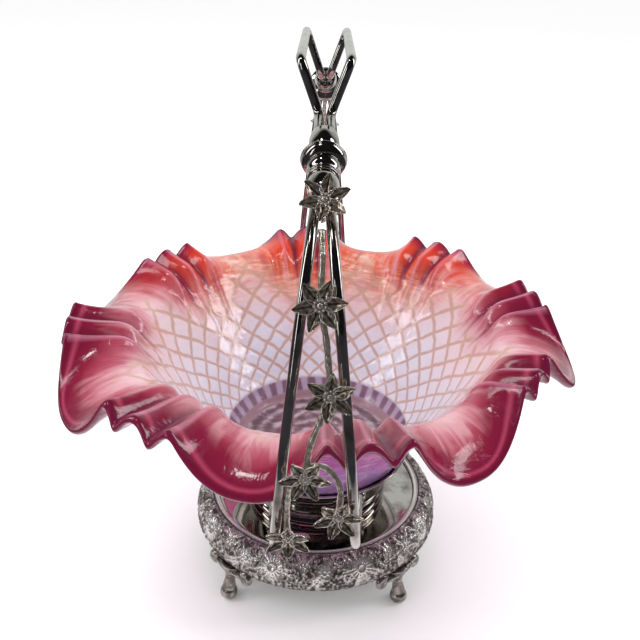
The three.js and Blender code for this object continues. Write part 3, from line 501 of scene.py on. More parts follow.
stalk_share = np.linspace(0, 1, 40)
stalk_reach = foot_reach + (foot_top_reach - foot_reach) * stalk_share**1.4
stalk_height = foot_ball_height + (foot_top_height - foot_ball_height) * stalk_share
stalk_radius = 2.6 + 2.0 * np.clip(1 - stalk_share / 0.62, 0, 1) ** 1.2
stalk_radius += 4.6 * np.clip((stalk_share - 0.45) / 0.55, 0, 1) ** 1.8
foot_skins = [
    ball((foot_reach, 0, foot_ball_height), (foot_ball_radius,) * 3),
    swept(np.stack([stalk_reach, 0 * stalk_share, stalk_height], -1), stalk_radius, 24),
    ball((base_radius - 2.4, 0, skirt_height - 3.2), (4.6, 14.0, 3.1)),
    ball((base_radius - 0.9, 0, skirt_height - 3.6), (3.2, 6.0, 3.4))
]
curl = np.linspace(0, 1, 60)
curl_angle, curl_radius = np.radians(140 - 470 * curl), 3.3 - 2.2 * curl
for side in (-1, 1):
    curl_side = side * (scroll_side + curl_radius * np.cos(curl_angle))
    curl_height = skirt_height - 3.3 + curl_radius * np.sin(curl_angle)
    curl_path = np.stack([base_radius - 1.4 + 0.8 * curl, curl_side, curl_height], -1)
    foot_skins.append(swept(curl_path, 2.2 - 0.9 * curl, 16))
    foot_skins.append(ball((base_radius - 1.2, side * scroll_side, skirt_height - 3.6), (2.4, 3.2, 2.8)))
foot_points, foot_faces = joined_skins(foot_skins)
foot_points[:, 2] = np.maximum(foot_points[:, 2], 0)

# Cast silver plate: worn through in places to the grey brown white metal below. Its creases are darkened
# by tarnish and painted shade, and its edges paled by wear and a painted highlight.
def cast_metal(name, stops, spot_millimetres, spot_roughness, spread, metallic, roughness, pits):
    """A cast metal, darkened in its creases by tarnish and painted shade and paled on its edges by wear and
    a painted highlight: the stops' colours follow how far a place stands out from the form, plus or minus
    half a spread by spots. The spots also make pits, of a strength and a depth in millimetres."""
    material, add, place = new_material(name)
    spots = {"Scale": 1 / (spot_millimetres * MILLIMETRE), "Detail": 5.0, "Roughness": spot_roughness}
    spots = add("TexNoise", {"Vector": place, **spots})
    uneven = add("Math", {"operation": "MULTIPLY_ADD", 0: spots, 1: spread, 2: -spread / 2})
    # Pointiness drives painted shade in the creases and a painted highlight on the edges.
    form = add("NewGeometry", {}).outputs["Pointiness"]
    edge = add("Math", {"operation": "ADD", 0: form, 1: uneven})
    tone = add("ValToRGB", {"stops": stops, "Fac": edge})
    grain = add("Bump", {"Strength": pits[0], "Distance": pits[1] * MILLIMETRE, "Height": spots})
    look = {"Metallic": metallic, "Roughness": roughness, "Base Color": tone, "Normal": grain}
    add("OutputMaterial", {"Surface": add("BsdfPrincipled", look)})
    return material


# The darkest stop is tarnish and painted shade in the creases, and the palest is wear and a painted highlight
# on the edges.
cast_shade_and_wear_stops = [(0.44, "#2c2622"), (0.5, "#716a63"), (0.57, "#dcd7d0")]
cast_plate = cast_metal("cast_silver_plate", cast_shade_and_wear_stops, 3.5, 0.6, 0.16, 0.88, 0.22, (0.4, 0.3))
for node, degrees in [
    ("front_right_foot", -foot_angle), ("front_left_foot", foot_angle - 180), ("back_right_foot", foot_angle),
    ("back_left_foot", 180 - foot_angle)
]:
    points = turned_about_z(foot_points, degrees)
    foot = make_piece("cast_" + node, points, foot_faces, cast_plate, "stand", node)
    casting = foot.modifiers.new("casting", "REMESH")
    casting.mode = "VOXEL"
    casting.voxel_size = foot_voxel * MILLIMETRE
    casting.use_smooth_shade = True
    softened = foot.modifiers.new("softened", "SMOOTH")
    softened.factor = 0.5
    softened.iterations = 3

# Pedestal: a spun dome with a wide step, polished, its edges rolled to small beads that catch the
# light. It stands on the plate, and the rods are screwed to its step.
pedestal_radius, dome_radius, neck_radius = 42.0, 33.2, 18.0
pedestal_wall = 1.8
pedestal_under = plate_height + seat_gap
step_height = plate_height + 10.1
dome_height = step_height + 5.2
pedestal_top = dome_height + 4.9
pedestal_outer = rounded(
    [
        (pedestal_radius - 0.8, pedestal_under), (pedestal_radius, pedestal_under + 1.6),
        (pedestal_radius, pedestal_under + 4.0), (pedestal_radius - 1.8, step_height - 3.2),
        (pedestal_radius - 0.2, step_height - 2.2), (pedestal_radius - 0.2, step_height),
        (pedestal_radius - 2.4, step_height), (dome_radius + 1.2, step_height - 0.6),
        (dome_radius - 0.8, step_height + 0.6), (dome_radius - 1.4, dome_height - 2.4),
        (dome_radius, dome_height - 1.8), (dome_radius - 0.4, dome_height), (dome_radius - 3.0, dome_height),
        (neck_radius + 4.0, dome_height + 1.0), (neck_radius + 1.0, pedestal_top - 1.0),
        (neck_radius, pedestal_top)
    ]
)
pedestal_inner = [
    (bolt_hole_radius, pedestal_top), (bolt_hole_radius, pedestal_top - pedestal_wall),
    (neck_radius - pedestal_wall, pedestal_top - pedestal_wall),
    (dome_radius - 2.0 - pedestal_wall, dome_height - pedestal_wall),
    (dome_radius - pedestal_wall, step_height - pedestal_wall),
    (pedestal_radius - 2.6, step_height - pedestal_wall), (pedestal_radius - 2.6, pedestal_under)
]
turned_piece("spun_pedestal", "pedestal_foot", [pedestal_outer, pedestal_inner])

# Screws: turned and silver plated, each with a round, polished head like a small ball. They hold the
# rods' ends to the pedestal's step.
screw_head_radius, screw_lift = 3.8, 3.4
screw_shank_radius, screw_tail = 1.6, 2.6
screw_head_height = step_height + screw_lift + seat_gap
screw_ring = (dome_radius + pedestal_radius) / 2
screw_angle = np.radians(47.6)
screw_side, screw_reach = screw_ring * np.cos(screw_angle), screw_ring * np.sin(screw_angle)
screw_foot = step_height - pedestal_wall - screw_tail - screw_head_height
screw_head = oval_arc(0, 0, screw_head_radius, screw_head_radius, 90, -63, 24)
screw_shank = [(screw_shank_radius, -screw_lift), (screw_shank_radius, screw_foot), (0, screw_foot)]
ends, sides = (("front", -1), ("back", 1)), (("left", -1), ("right", 1))
for end_name, end in ends:
    for side_name, side in sides:
        node = f"{end_name}_{side_name}_screw"
        middle = (side * screw_side, end * screw_reach, screw_head_height)
        turned_piece("ball_" + node, node, [screw_head, screw_shank], 48, middle=middle, closed=False)

# Knop and dish: a turned knop carries a shallow spun dish, whose lip stands round the foot of the
# glass. Both are threaded on the tie bolt, whose head, washer and nut stay plain steel.
knop_waist, knop_radius, knop_length = 15.0, 19.0, 4.9
knop_under = pedestal_top + seat_gap
knop_top = knop_under + knop_length
knop_outer = rounded(
    [
        (knop_waist, knop_under), (knop_waist + 0.6, knop_under + 0.5), (knop_radius - 0.6, knop_under + 1.2),
        (knop_radius, knop_under + knop_length / 2), (knop_radius - 0.6, knop_top - 1.2),
        (knop_waist + 0.6, knop_top - 0.5), (knop_waist, knop_top)
    ]
)
knop_bore = [(bolt_hole_radius, knop_top), (bolt_hole_radius, knop_under)]
turned_piece("turned_knop", "stem_knop", [knop_outer, knop_bore])
glass_foot_radius = 48.9
dish_under = knop_top + seat_gap
dish_floor = dish_under + 2.7
dish_lip = dish_floor + 4.9
dish_inner_radius, dish_lip_inner, dish_recess = glass_foot_radius + 1.0, 52.6, 7.3
dish_wall = 1.6
dish_outer = rounded(
    [
        (dish_inner_radius - 5.9, dish_under), (dish_inner_radius - 2.0, dish_under + 0.6),
        (dish_inner_radius + dish_wall, dish_floor), (dish_lip_inner + dish_wall - 0.2, dish_lip - 1.2),
        (dish_lip_inner + dish_wall, dish_lip - 0.3), (dish_lip_inner + dish_wall / 2, dish_lip),
        (dish_lip_inner, dish_lip - 0.3)
    ]
)
dish_inner = [
    (dish_inner_radius, dish_floor), (dish_recess, dish_floor), (dish_recess, dish_floor - 1.2),
    (bolt_hole_radius, dish_floor - 1.2), (bolt_hole_radius, dish_under)
]
turned_piece("spun_dish", "bowl_dish", [dish_outer, dish_inner])

# Plain steel: turned and zinc grey, dulled by a thin oxide.
fastener_steel, add, place = new_material("plain_steel")
oxide = add("TexNoise", {"Vector": place, "Scale": 1 / (1.5 * MILLIMETRE), "Detail": 4.0})
tone = add("ValToRGB", {"stops": [(0.35, "#4e4a45"), (0.7, "#8b8780")], "Fac": oxide})
gloss = add("MapRange", {"To Min": 0.3, "To Max": 0.55, "Value": oxide})
look = {"Metallic": 1.0, "Base Color": tone, "Roughness": gloss}
add("OutputMaterial", {"Surface": add("BsdfPrincipled", look)})
for node in ("tie_bolt", "tie_washer", "tie_nut"):
    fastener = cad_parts[node]
    fastener.data.materials.clear()
    fastener.data.materials.append(fastener_steel)

# Glass bowl: blown into a mould with crossing ribs, cased in cranberry at the rim, and ruffled hot.
# Eight groups of three tight crimps stand up, with a wide scallop that droops between them.
group_count, first_group, crimp_spacing = 8, -80.5, 8.5
group_turn = np.array([0.2, 3.2, 1.5, -2.3, -3.8, -1.5, 0.1, 0.8])
group_radius_share = np.array([1, 0.955, 0.975, 0.983, 0.94, 0.962, 1.035, 1.052])
lobe_radius_share = np.array([0.935, 1, 1, 0.95, 1, 1, 1.028, 0.993])
lobe_rise_share = np.array([0.928, 0.993, 1, 1.079, 1, 1, 0.977, 1.056])
glass_under = dish_floor + seat_gap
well_floor = glass_under + 5.0
valley_radius = 131.0
crimp_radius, lobe_radius = valley_radius - 3.5, valley_radius + 8.0
crimp_height, valley_height, lobe_rise = well_floor + 89.0, well_floor + 79.8, 63.0
crimp_slope, valley_slope, lobe_slope = 18.0, -2.0, -52.0
fold_sharpness, lobe_flatness = 2.0, 2.4
ring_point, shoulder_point = (53.6, well_floor + 11.1), (95.0, well_floor + 68.5)
wall_slope, shoulder_slope = np.radians(57.0), np.radians(50.0)
glass_wall, rim_wall = 3.6, 4.4
glass_columns = 720
rib_count = 30


def keys(crest, valley, lobe, group_share=1.0):
    """The values at a turn's keys: in each group crest, valley, crest, valley and crest, times the
    group's share, and then its lobe's value."""
    crimps = np.outer(np.broadcast_to(group_share, group_count), [crest, valley, crest, valley, crest])
    return np.column_stack([crimps, np.broadcast_to(lobe, group_count)]).ravel()


group_centre = first_group + 360 / group_count * np.arange(group_count) + group_turn
lobe_centre = (group_centre + np.append(group_centre[1:], group_centre[0] + 360)) / 2
crimp_angle = group_centre[:, None] + np.arange(-2, 3) * crimp_spacing / 2
key_angle = np.column_stack([crimp_angle, lobe_centre]).ravel()
key_angle = np.concatenate([key_angle - 360, key_angle, key_angle + 360])
column_angle = first_group - 60 + np.linspace(0, 360, glass_columns, endpoint=False)
key_number = np.searchsorted(key_angle, column_angle, side="right") - 1
way_share = (column_angle - key_angle[key_number]) / (key_angle[key_number + 1] - key_angle[key_number])
key_kind = key_number % 6
eased = np.where(key_kind % 2 == 0, way_share**fold_sharpness, 1 - (1 - way_share) ** fold_sharpness)
eased = np.where(key_kind == 4, 1 - (1 - way_share) ** lobe_flatness, eased)
eased = np.where(key_kind == 5, way_share**lobe_flatness, eased)


def between_keys(values):
    """The value at each column, eased from the key before it to the key after it, then smoothed over
    a degree or so, as hot glass is."""
    here, after = values[key_number % len(values)], values[(key_number + 1) % len(values)]
    plain = here + (after - here) * eased
    kernel = np.exp(-0.5 * (np.arange(-6, 7) / 1.1) ** 2)
    wrapped = np.concatenate([plain[-6:], plain, plain[:6]])
    return np.convolve(wrapped, kernel / kernel.sum(), "valid")


def cubic_shares(share):
    """A cubic's shares of the way between its ends, and of the tangents at its start and its end."""
    return share * share * (3 - 2 * share), share * (1 - share) ** 2, share * share * (share - 1)


def bowed(start, start_slope, end, end_slope, share, pull=1.0):
    """A curve that leaves one point and meets another at given slopes: a cubic whose end tangents are
    as long as the chord times the pull. Gives its points, and its slopes from the cubic's change."""
    chord = np.hypot(end[0] - start[0], end[1] - start[1]) * pull
    a, b, c = cubic_shares(share)
    da, db, dc = 6 * share * (1 - share), (1 - share) * (1 - 3 * share), share * (3 * share - 2)
    place, way = [], []
    for k, part in ((0, np.cos), (1, np.sin)):
        leave, meet = chord * part(start_slope), chord * part(end_slope)
        place.append(start[k] + a * (end[k] - start[k]) + b * leave + c * meet)
        way.append(da * (end[k] - start[k]) + db * leave + dc * meet)
    return np.stack(place, -1), np.arctan2(way[1], way[0])


def crimp_distance(offsets):
    """How many degrees each column lies from the places at some offsets, in crimps, in each group."""
    places = group_centre[:, None] + crimp_spacing * np.array(offsets)
    return (column_angle - places.reshape(-1, 1) + 180) % 360 - 180


lobe_keys = well_floor + lobe_rise * lobe_rise_share
radius_keys = keys(crimp_radius, valley_radius, lobe_radius * lobe_radius_share, group_radius_share)
edge_radius = between_keys(radius_keys)
edge_height = between_keys(keys(crimp_height, valley_height, lobe_keys))
edge_slope = np.radians(between_keys(keys(crimp_slope, valley_slope, lobe_slope)))
leave_slope = np.radians(between_keys(keys(72.0, 44.0, 50.0)))
tension = between_keys(keys(1.7, 1.0, 1.0))
wall_share = np.linspace(0, 1, 42)[:-1, None]
flare_share = np.linspace(0, 1, 30)[:, None]
wall = bowed(ring_point, wall_slope, shoulder_point, shoulder_slope, wall_share)
flare = bowed(shoulder_point, leave_slope, (edge_radius, edge_height), edge_slope, flare_share, tension)
line, slope = (np.concatenate([np.repeat(low, glass_columns, 1), high]) for low, high in zip(wall, flare))
line_wall = np.concatenate([glass_wall + 0 * wall_share, glass_wall + (rim_wall - glass_wall) * flare_share])
steps = np.pad(np.linalg.norm(np.diff(line, axis=0), axis=-1), ((1, 0), (0, 0)))
run = np.cumsum(steps, axis=0)
edge_distance = run[-1:] - run

# The mould's ribs cross in diamonds: spirals both ways at an even slant, so each turn of the bowl
# holds the same number of them, and they widen with the bowl. Waves of random size make it uneven.
rib_row = rib_count / (2 * np.pi) * np.cumsum(steps / line[..., 0], axis=0)
column_radians = np.radians(column_angle)
rib_turn = rib_count * column_radians / (2 * np.pi)
rib_off = [np.abs((turn + 0.5) % 1 - 0.5) for turn in (rib_turn + rib_row, rib_turn - rib_row)]
rng = np.random.default_rng(7)
wobble = 0.0
for turns, rows in zip(range(3, 19), rng.uniform(0.5, 2.2, 16)):
    size = rng.normal(0, 0.10)
    phase = turns * column_radians + rows * line[..., 0] / 20 + rng.uniform(0, 2 * np.pi)
    wobble = wobble + size * np.cos(phase)
apart, off_valley = crimp_distance([-1, 0, 1]), crimp_distance([-0.5, 0.5])
shares = np.concatenate([wall_share - 1, flare_share])
crease = np.exp(-((apart / 1.1) ** 2)).sum(0)
crease_fade = np.exp(-((np.minimum(shares, 0) / 0.28) ** 2)) * np.exp(-((np.maximum(shares, 0) / 0.35) ** 2))
ribs = np.exp(-((np.minimum(*rib_off) / 0.13) ** 2)) * np.clip(1 - shares * 2.2, 0, 1)
ring_bead = np.exp(-((run / 2.0) ** 2))
swell = wobble * np.clip(run / 15, 0, 1) + 0.9 * crease * crease_fade - 0.3 * ribs + 0.9 * ring_bead
upward = np.stack([-np.sin(slope), np.cos(slope)], -1)
inner_skin = line + swell[..., None] * upward
outer_skin = (line - (line_wall - 0.5 * swell)[..., None] * upward)[-1:3:-2]

# The edge is fire polished round, the well's rim is a rounded step, and the foot under it is ground.
bend = np.radians(np.linspace(0, 180, 9))[1:-1, None, None]
edge_upward = np.stack([-np.sin(edge_slope), np.cos(edge_slope)], -1)
edge_way = np.stack([np.cos(edge_slope), np.sin(edge_slope)], -1)
round_edge = np.stack([edge_radius, edge_height], -1)
round_edge = round_edge + rim_wall / 2 * (np.sin(bend) * edge_way - (1 - np.cos(bend)) * edge_upward)
well_radius, well_rim = 42.5, ring_point[0] - 1.0
well_rise = [(well_radius, well_floor), (45.4, well_floor + 0.3), (46.8, well_floor + 2.2)]
well_rise = rounded(well_rise + [(well_rim, ring_point[1] - 1.2)], 2)
well_flat = np.linspace((6.0, well_floor - 0.6), (well_radius, well_floor), 8)
well_line = np.concatenate([[(0, well_floor - 0.6)], well_flat, well_rise[1:]])
foot_line = [(glass_foot_radius, glass_under), (38.0, glass_under)]
foot_line = np.array(foot_line + [(35.8, glass_under + 2.2), (0, glass_under + 2.2)])
well_skin, foot_skin = (np.repeat(rows[:, None], glass_columns, 1) for rows in (well_line, foot_line))
glass_parts = [well_skin, inner_skin, round_edge, outer_skin, foot_skin]
glass_skin = np.concatenate(glass_parts)
glass_points = lathe_points(glass_skin, column_radians)
part_rows = [len(part) for part in glass_parts]
well_rows, foot_rows = part_rows[0], part_rows[-1]

# Maps for the glass's material: the way to the edge, drawn out in the crimps' colour, the share that
# faces in, the crimps' folds and crests for painted shade and painted highlights, the ribs' rows, the
# well, and the way up its rim.
in_crimps = np.clip(1.5 - np.abs(apart).min(0) / crimp_spacing, 0, 1)
drawn_share, drawn_end, drawn_fade = 0.36, 58, 22
drawn_in = in_crimps * np.clip((drawn_end - edge_distance) / drawn_fade, 0, 1)
drawn = edge_distance * (1 - drawn_share * drawn_in)
well_edge, foot_edge = (
    run[-1:] + np.linspace(*span)[:, None] for span in ((60, 0, well_rows), (0, 60, foot_rows))
)
plain_edge = np.zeros(round_edge.shape[:2])
glass_edge = np.concatenate([well_edge, drawn, plain_edge, edge_distance[-1:3:-2], foot_edge])
glass_inside = np.repeat([1, 1, 0.6, 0, 0], part_rows)[:, None]
in_flare = np.clip((shares + 0.25) / 0.35, 0, 1)
# Painted shade along the crimps' folds, and a painted highlight along their crests.
fold_shade_line, crest_highlight_line = (
    np.exp(-((off / width) ** 2)).sum(0) for off, width in ((off_valley, 1.15), (apart, 0.55))
)
fold_shade_and_highlight = np.full(glass_skin.shape[:2], 0.5)
fold_shade_and_highlight[well_rows : well_rows + len(run)] += 0.5 * (fold_shade_line - crest_highlight_line) * in_flare
rows_below = np.repeat(np.linspace(-2.2, 0, well_rows)[:, None], glass_columns, 1)
plain_foot = np.zeros(foot_skin.shape[:2])
glass_row = np.concatenate([rows_below, rib_row, plain_edge, rib_row[-1:3:-2], plain_foot])
well_part = np.repeat([1.0, 0.0], [well_rows, len(glass_skin) - well_rows])[:, None]
band_start = 43.5
well_band = well_part * np.clip((glass_skin[:, :1, 0] - band_start) / (well_rim - band_start), 0, 1)
glass_maps = {"edge_distance": glass_edge, "inside": glass_inside, "rib_row": glass_row, "fold": fold_shade_and_highlight}
glass_maps |= {"well_band": well_band, "well": well_part}

# Cased art glass: clear glass over milky opal, struck to deep cranberry at the rim, where it fades
# through rose and pink to a pale lavender crossed by tan ribs. On the back half the fade runs through
# orange to peach instead, a painted glow of light shining through the glass. Both faces are fire polished.
# The pale stop at 0.024, between two dark ones, is a painted highlight along the rolled edge.
rim_stops = [
    (0.000, "#6c1232"), (0.012, "#7c1536"), (0.024, "#b04260"), (0.038, "#7e1638"), (0.095, "#881c38"),
    (0.145, "#b04c60"), (0.220, "#cf8290"), (0.310, "#e0aeb6"), (0.480, "#ead0d8"), (0.800, "#e7e0ee")
]
# Painted glow: the ramp for the back half of the bowl, orange to peach, standing for light through its far
# wall.
backlit_glow_stops = [
    (0.000, "#841a3a"), (0.025, "#b42a3c"), (0.060, "#da3e28"), (0.130, "#e64e2e"), (0.200, "#e4603e"),
    (0.280, "#e27c60"), (0.400, "#e29a8c"), (0.560, "#e8c2ca"), (0.800, "#e7e0f0")
]
under_stops = [
    (0.000, "#7a1840"), (0.030, "#a03866"), (0.090, "#c66a96"), (0.200, "#ca5c94"), (0.450, "#c457a0"),
    (0.700, "#b862aa"), (0.950, "#b085c4")
]
well_stops = [(0.32, "#6a4d56"), (0.5, "#8b6d7a"), (0.7, "#c2aeba")]
ramp_millimetres, comb_millimetres, comb_stretch, ring_millimetres = 110.0, 7.0, 0.22, 8.5
dash_count = 36
cranberry_glass, add, place = new_material("cased_cranberry_glass")
edge_mm, inside, row, fold, band, well = (
    add("Attribute", {"attribute_name": name}).outputs["Fac"] for name in glass_maps
)
split = add("SeparateXYZ", {0: place}).outputs

# How far the glass was struck: the share of the ramp's length from the edge, shifted by soft blotches.
blotch = add("TexNoise", {"Vector": place, "Scale": 1 / (22 * MILLIMETRE), "Detail": 3.0})
shift = add("Math", {"operation": "MULTIPLY_ADD", 0: blotch, 1: 0.16, 2: -0.08})
edge_share = add("Math", {"operation": "MULTIPLY", 0: edge_mm, 1: 1 / ramp_millimetres})
shift_room = add("MapRange", {"From Min": 0.03, "From Max": 0.15, "Value": edge_share})
struck = add("Math", {"operation": "MULTIPLY_ADD", 0: shift, 1: shift_room, 2: edge_share})
rim_tone, backlit_glow_tone, outer_tone = (
    add("ValToRGB", {"stops": stops, "Fac": struck}) for stops in (rim_stops, backlit_glow_stops, under_stops)
)
off_edge, band_in, band_out, comb_in, comb_out, rib_zone = (
    add("MapRange", {"From Min": start, "From Max": end, "Value": struck})
    for start, end in [(0.08, 0.3), (0.14, 0.24), (0.66, 0.4), (0.07, 0.17), (0.42, 0.22), (0.22, 0.36)]
)
# Painted glow: towards the back, by its place, the glass takes the backlit glow ramp in place of the rim's.
behind = {"interpolation_type": "SMOOTHSTEP", "From Min": 20 * MILLIMETRE, "From Max": 92 * MILLIMETRE}
behind = add("MapRange", {**behind, "Value": split["Y"]})
tone = add("Mix", {"data_type": "RGBA", 0: behind, 6: rim_tone, 7: backlit_glow_tone})


def tinted(tone, colour, zone, pattern, start, end, most, easing="LINEAR"):
    """A tone with a colour laid over it: as much of it as the zone times the pattern's share of the way
    from its start to its end, of which the most is given."""
    span = {"interpolation_type": easing, "From Min": start, "From Max": end, "To Max": most}
    share = add("MapRange", {**span, "Value": pattern})
    share = add("Math", {"operation": "MULTIPLY", 0: zone, 1: share})
    return add("Mix", {"data_type": "RGBA", 0: share, 6: tone, 7: colour})


# Watery bands lie level, outside and on the back's inner face. Combed streaks run out to the edge, as
# the hot glass was pulled: their noise reads the way round, and a slow share of the edge's distance.
level = add("VectorMath", {"operation": "MULTIPLY", 0: place, 1: (1, 1, 5)})
watery = {"Scale": 1 / (16 * MILLIMETRE), "Detail": 3.0, "Distortion": 1.2}
watery = add("TexNoise", {"Vector": level, **watery})
outer_tone = tinted(outer_tone, "#e3a3cc", off_edge, watery, 0.46, 0.66, 0.7)
at_back = add("Math", {"operation": "MULTIPLY", 0: band_in, 1: behind})
in_band = add("Math", {"operation": "MULTIPLY", 0: at_back, 1: band_out})
tone = tinted(tone, "#f7e2d2", in_band, watery, 0.48, 0.7, 0.6)
tone = tinted(tone, "#b57a86", in_band, watery, 0.46, 0.3, 0.5)
flat_place = add("VectorMath", {"operation": "MULTIPLY", 0: place, 1: (1, 1, 0)})
round_way = add("VectorMath", {"operation": "NORMALIZE", 0: flat_place})
depth = add("Math", {"operation": "MULTIPLY", 0: edge_mm, 1: comb_stretch / comb_millimetres})
depth = add("CombineXYZ", {"Z": depth})
comb_scale = (valley_radius / comb_millimetres,) * 3
combed = add("VectorMath", {"operation": "MULTIPLY_ADD", 0: round_way, 1: comb_scale, 2: depth})
combed = add("TexNoise", {"Vector": combed, "Scale": 1.0, "Detail": 3.0, "Distortion": 0.7})
comb_zone = add("Math", {"operation": "MULTIPLY", 0: comb_in, 1: comb_out})
tone = tinted(tone, "#ecbcc0", comb_zone, combed, 0.5, 0.66, 0.5)
tone = tinted(tone, "#a63248", comb_zone, combed, 0.48, 0.34, 0.6)

# The tan ribs: the nearer of two spirals, each a count of turns plus or minus the rows, a little wavy.
turn_angle = add("Math", {"operation": "ARCTAN2", 0: split["Y"], 1: split["X"]})
waver = add("TexNoise", {"Vector": place, "Scale": 1 / (9 * MILLIMETRE), "Detail": 2.0})
waver = add("Math", {"operation": "MULTIPLY_ADD", 0: waver, 1: 0.32, 2: -0.16})
rib_turns, dash_turns = (
    add("Math", {"operation": "MULTIPLY_ADD", 0: turn_angle, 1: count / (2 * np.pi), 2: waver})
    for count in (rib_count, dash_count)
)
rising, falling = (add("Math", {"operation": sense, 0: rib_turns, 1: row}) for sense in ("ADD", "SUBTRACT"))
rising, falling, dash_away = (
    add("Math", {"operation": "PINGPONG", 0: turns, 1: 0.5}) for turns in (rising, falling, dash_turns)
)
nearest = add("Math", {"operation": "MINIMUM", 0: rising, 1: falling})
tone = tinted(tone, "#c99c88", rib_zone, nearest, 0.15, 0.04, 0.78, "SMOOTHSTEP")

# The well: streaky rings on its floor, and dashes under a plain band up its rim.
streaks = {"Scale": 1 / (11 * MILLIMETRE), "Detail": 4.0, "Distortion": 1.6}
streaks = add("TexNoise", {"Vector": place, **streaks})
rings = add("VectorMath", {"operation": "LENGTH", 0: flat_place})
ring_turn = 2 * np.pi / (ring_millimetres * MILLIMETRE)
rings = add("Math", {"operation": "MULTIPLY", 0: rings, 1: ring_turn})
rings = add("Math", {"operation": "SINE", 0: rings})
rings = add("Math", {"operation": "MULTIPLY_ADD", 0: rings, 1: 0.13, 2: streaks})
floor_tone = add("ValToRGB", {"stops": well_stops, "Fac": rings})
low, in_rim = (
    add("MapRange", {"interpolation_type": "SMOOTHSTEP", "From Min": start, "From Max": end, "Value": band})
    for start, end in [(0.42, 0.56), (0.0, 0.12)]
)
band_tone = add("Mix", {"data_type": "RGBA", 0: low, 6: "#a8838f", 7: "#bfa8c2"})
band_tone = tinted(band_tone, "#856079", low, dash_away, 0.12, 0.36, 1.0, "SMOOTHSTEP")
well_tone = add("Mix", {"data_type": "RGBA", 0: in_rim, 6: floor_tone, 7: band_tone})
tone = add("Mix", {"data_type": "RGBA", 0: well, 6: tone, 7: well_tone})

# The crimps' folds are deeper in colour, partly from thicker glass and partly as painted shade, and their
# crests carry thin pale lines, a painted highlight.
tone = tinted(tone, "#6f1c44", 1.0, fold, 0.55, 1.0, 0.85)
tone = tinted(tone, "#dd92b0", 1.0, fold, 0.45, 0.0, 0.45)
tone = add("Mix", {"data_type": "RGBA", 0: inside, 6: outer_tone, 7: tone})
ripple = add("Bump", {"Strength": 0.4, "Distance": 1.2 * MILLIMETRE, "Height": streaks})
look = {"Base Color": tone, "Normal": ripple, "Roughness": 0.14, "IOR": 1.5, "Transmission Weight": 0.2}
look |= {"Coat Weight": 0.5, "Coat Roughness": 0.04}
add("OutputMaterial", {"Surface": add("BsdfPrincipled", look)})
glass_faces = grid_faces(len(glass_skin), glass_columns)
make_piece(
    "ruffled_glass", glass_points, glass_faces, cranberry_glass, "bowl", "glass_bowl",
    {key: np.broadcast_to(values, glass_skin.shape[:2]) for key, values in glass_maps.items()}
)

# Handle rods: drawn rod, bent cold and plated. Two top rails part at each crotch, and a pair of rods
# runs down from each collar, round the glass and in to the screws on the pedestal.
rod_radius, rod_step, fillet_steps = 2.1, 0.9, 14
pinch_half_width = rod_radius + seat_gap / 2
collar_reach, collar_height = 84.0, 266.1
collar_tilt = np.radians(66.0)
upper_bead_length, disc_length, step_length, lower_bead_length = 12.0, 6.6, 6.0, 10.4
upper_start = disc_length / 2 + seat_gap + upper_bead_length
lower_end = disc_length / 2 + step_length + seat_gap + lower_bead_length


def collar_place(down):
    """The reach and height at a length down the collar's axis from its disc bead: the length times
    the sine and cosine of the collar's tilt."""
    return collar_reach + down * np.sin(collar_tilt), collar_height - down * np.cos(collar_tilt)


top_reach, top_height = collar_place(-upper_start)
neck_reach, neck_height = collar_place(lower_end)
crotch = (top_reach - 19.8, top_height + 4.0)
rail_end = (crotch[0] + 0.8, crotch[1] + 22.7)
corner_reach, corner_height, corner_half = valley_radius + 16.6, 169.0, 12.8
bow_reach = neck_reach + (corner_reach - neck_reach) * 0.716
bow_height = neck_height + (corner_height - neck_height) * 0.159
bow_half = pinch_half_width + (corner_half - pinch_half_width) * 0.25
# each corner's distance from the middle plane, its reach, its height, and its fillet
rail_corners = [
    (pinch_half_width, *collar_place(-seat_gap / 2), 0), (pinch_half_width, top_reach, top_height, 4.4),
    (pinch_half_width, *crotch, 6.0), (10.5, *rail_end, 5.0)
]
arm_corners = [
    (pinch_half_width, *collar_place(seat_gap / 2), 0), (pinch_half_width, neck_reach, neck_height, 4.4),
    (bow_half, bow_reach, bow_height, 29), (corner_half, corner_reach, corner_height, 13),
    (16.5, corner_reach - 4.6, 123.9, 9), (22.4, 66.0, 70.5, 9),
    (screw_side, screw_reach, screw_head_height, 0)
]


def filleted(corners, steps):
    """A route of corners (x, y, z, fillet): each corner becomes a parabola that leaves and meets its
    sides a fillet's length away."""
    places = np.array([corner[:3] for corner in corners], float)
    route = [places[:1]]
    for i in range(1, len(corners) - 1):
        start = places[i] + unit(places[i - 1] - places[i]) * corners[i][3]
        end = places[i] + unit(places[i + 1] - places[i]) * corners[i][3]
        t = np.linspace(0, 1, steps + 1)[:, None]
        route.append((1 - t) ** 2 * start + 2 * t * (1 - t) * places[i] + t**2 * end)
    return np.concatenate(route + [places[-1:]])


def make_rod(name, node, route):
    """A rod along a route with half round ends: near an end its radius falls as a circle does."""
    even = evenly(route, int(run_along(route)[-1] / rod_step) + 2)
    run = np.linspace(0, run_along(even)[-1], len(even))
    short = 1 - np.clip(np.minimum(run, run[-1] - run) / (0.5 * rod_radius), 0, 1)
    points, faces = swept(even, rod_radius * np.sqrt(1 - 0.6 * short**2), 28)
    make_piece(name, points, faces, polished_plate, "stand", node)


for side_name, side in sides:
    corners = [(side * x, -y, z, f) for x, y, z, f in rail_corners]
    corners += [(side * x, y, z, f) for x, y, z, f in rail_corners[::-1]]
    make_rod("rail_" + side_name, "top_rail_" + side_name, filleted(corners, fillet_steps))
    for end_name, end in ends:
        route = filleted([(side * x, end * y, z, f) for x, y, z, f in arm_corners], fillet_steps)
        route[-1] -= unit(route[-1] - route[-2]) * (screw_head_radius + seat_gap)
        node = f"{end_name}_{side_name}_rod"
        make_rod("bent_" + node, node, route)

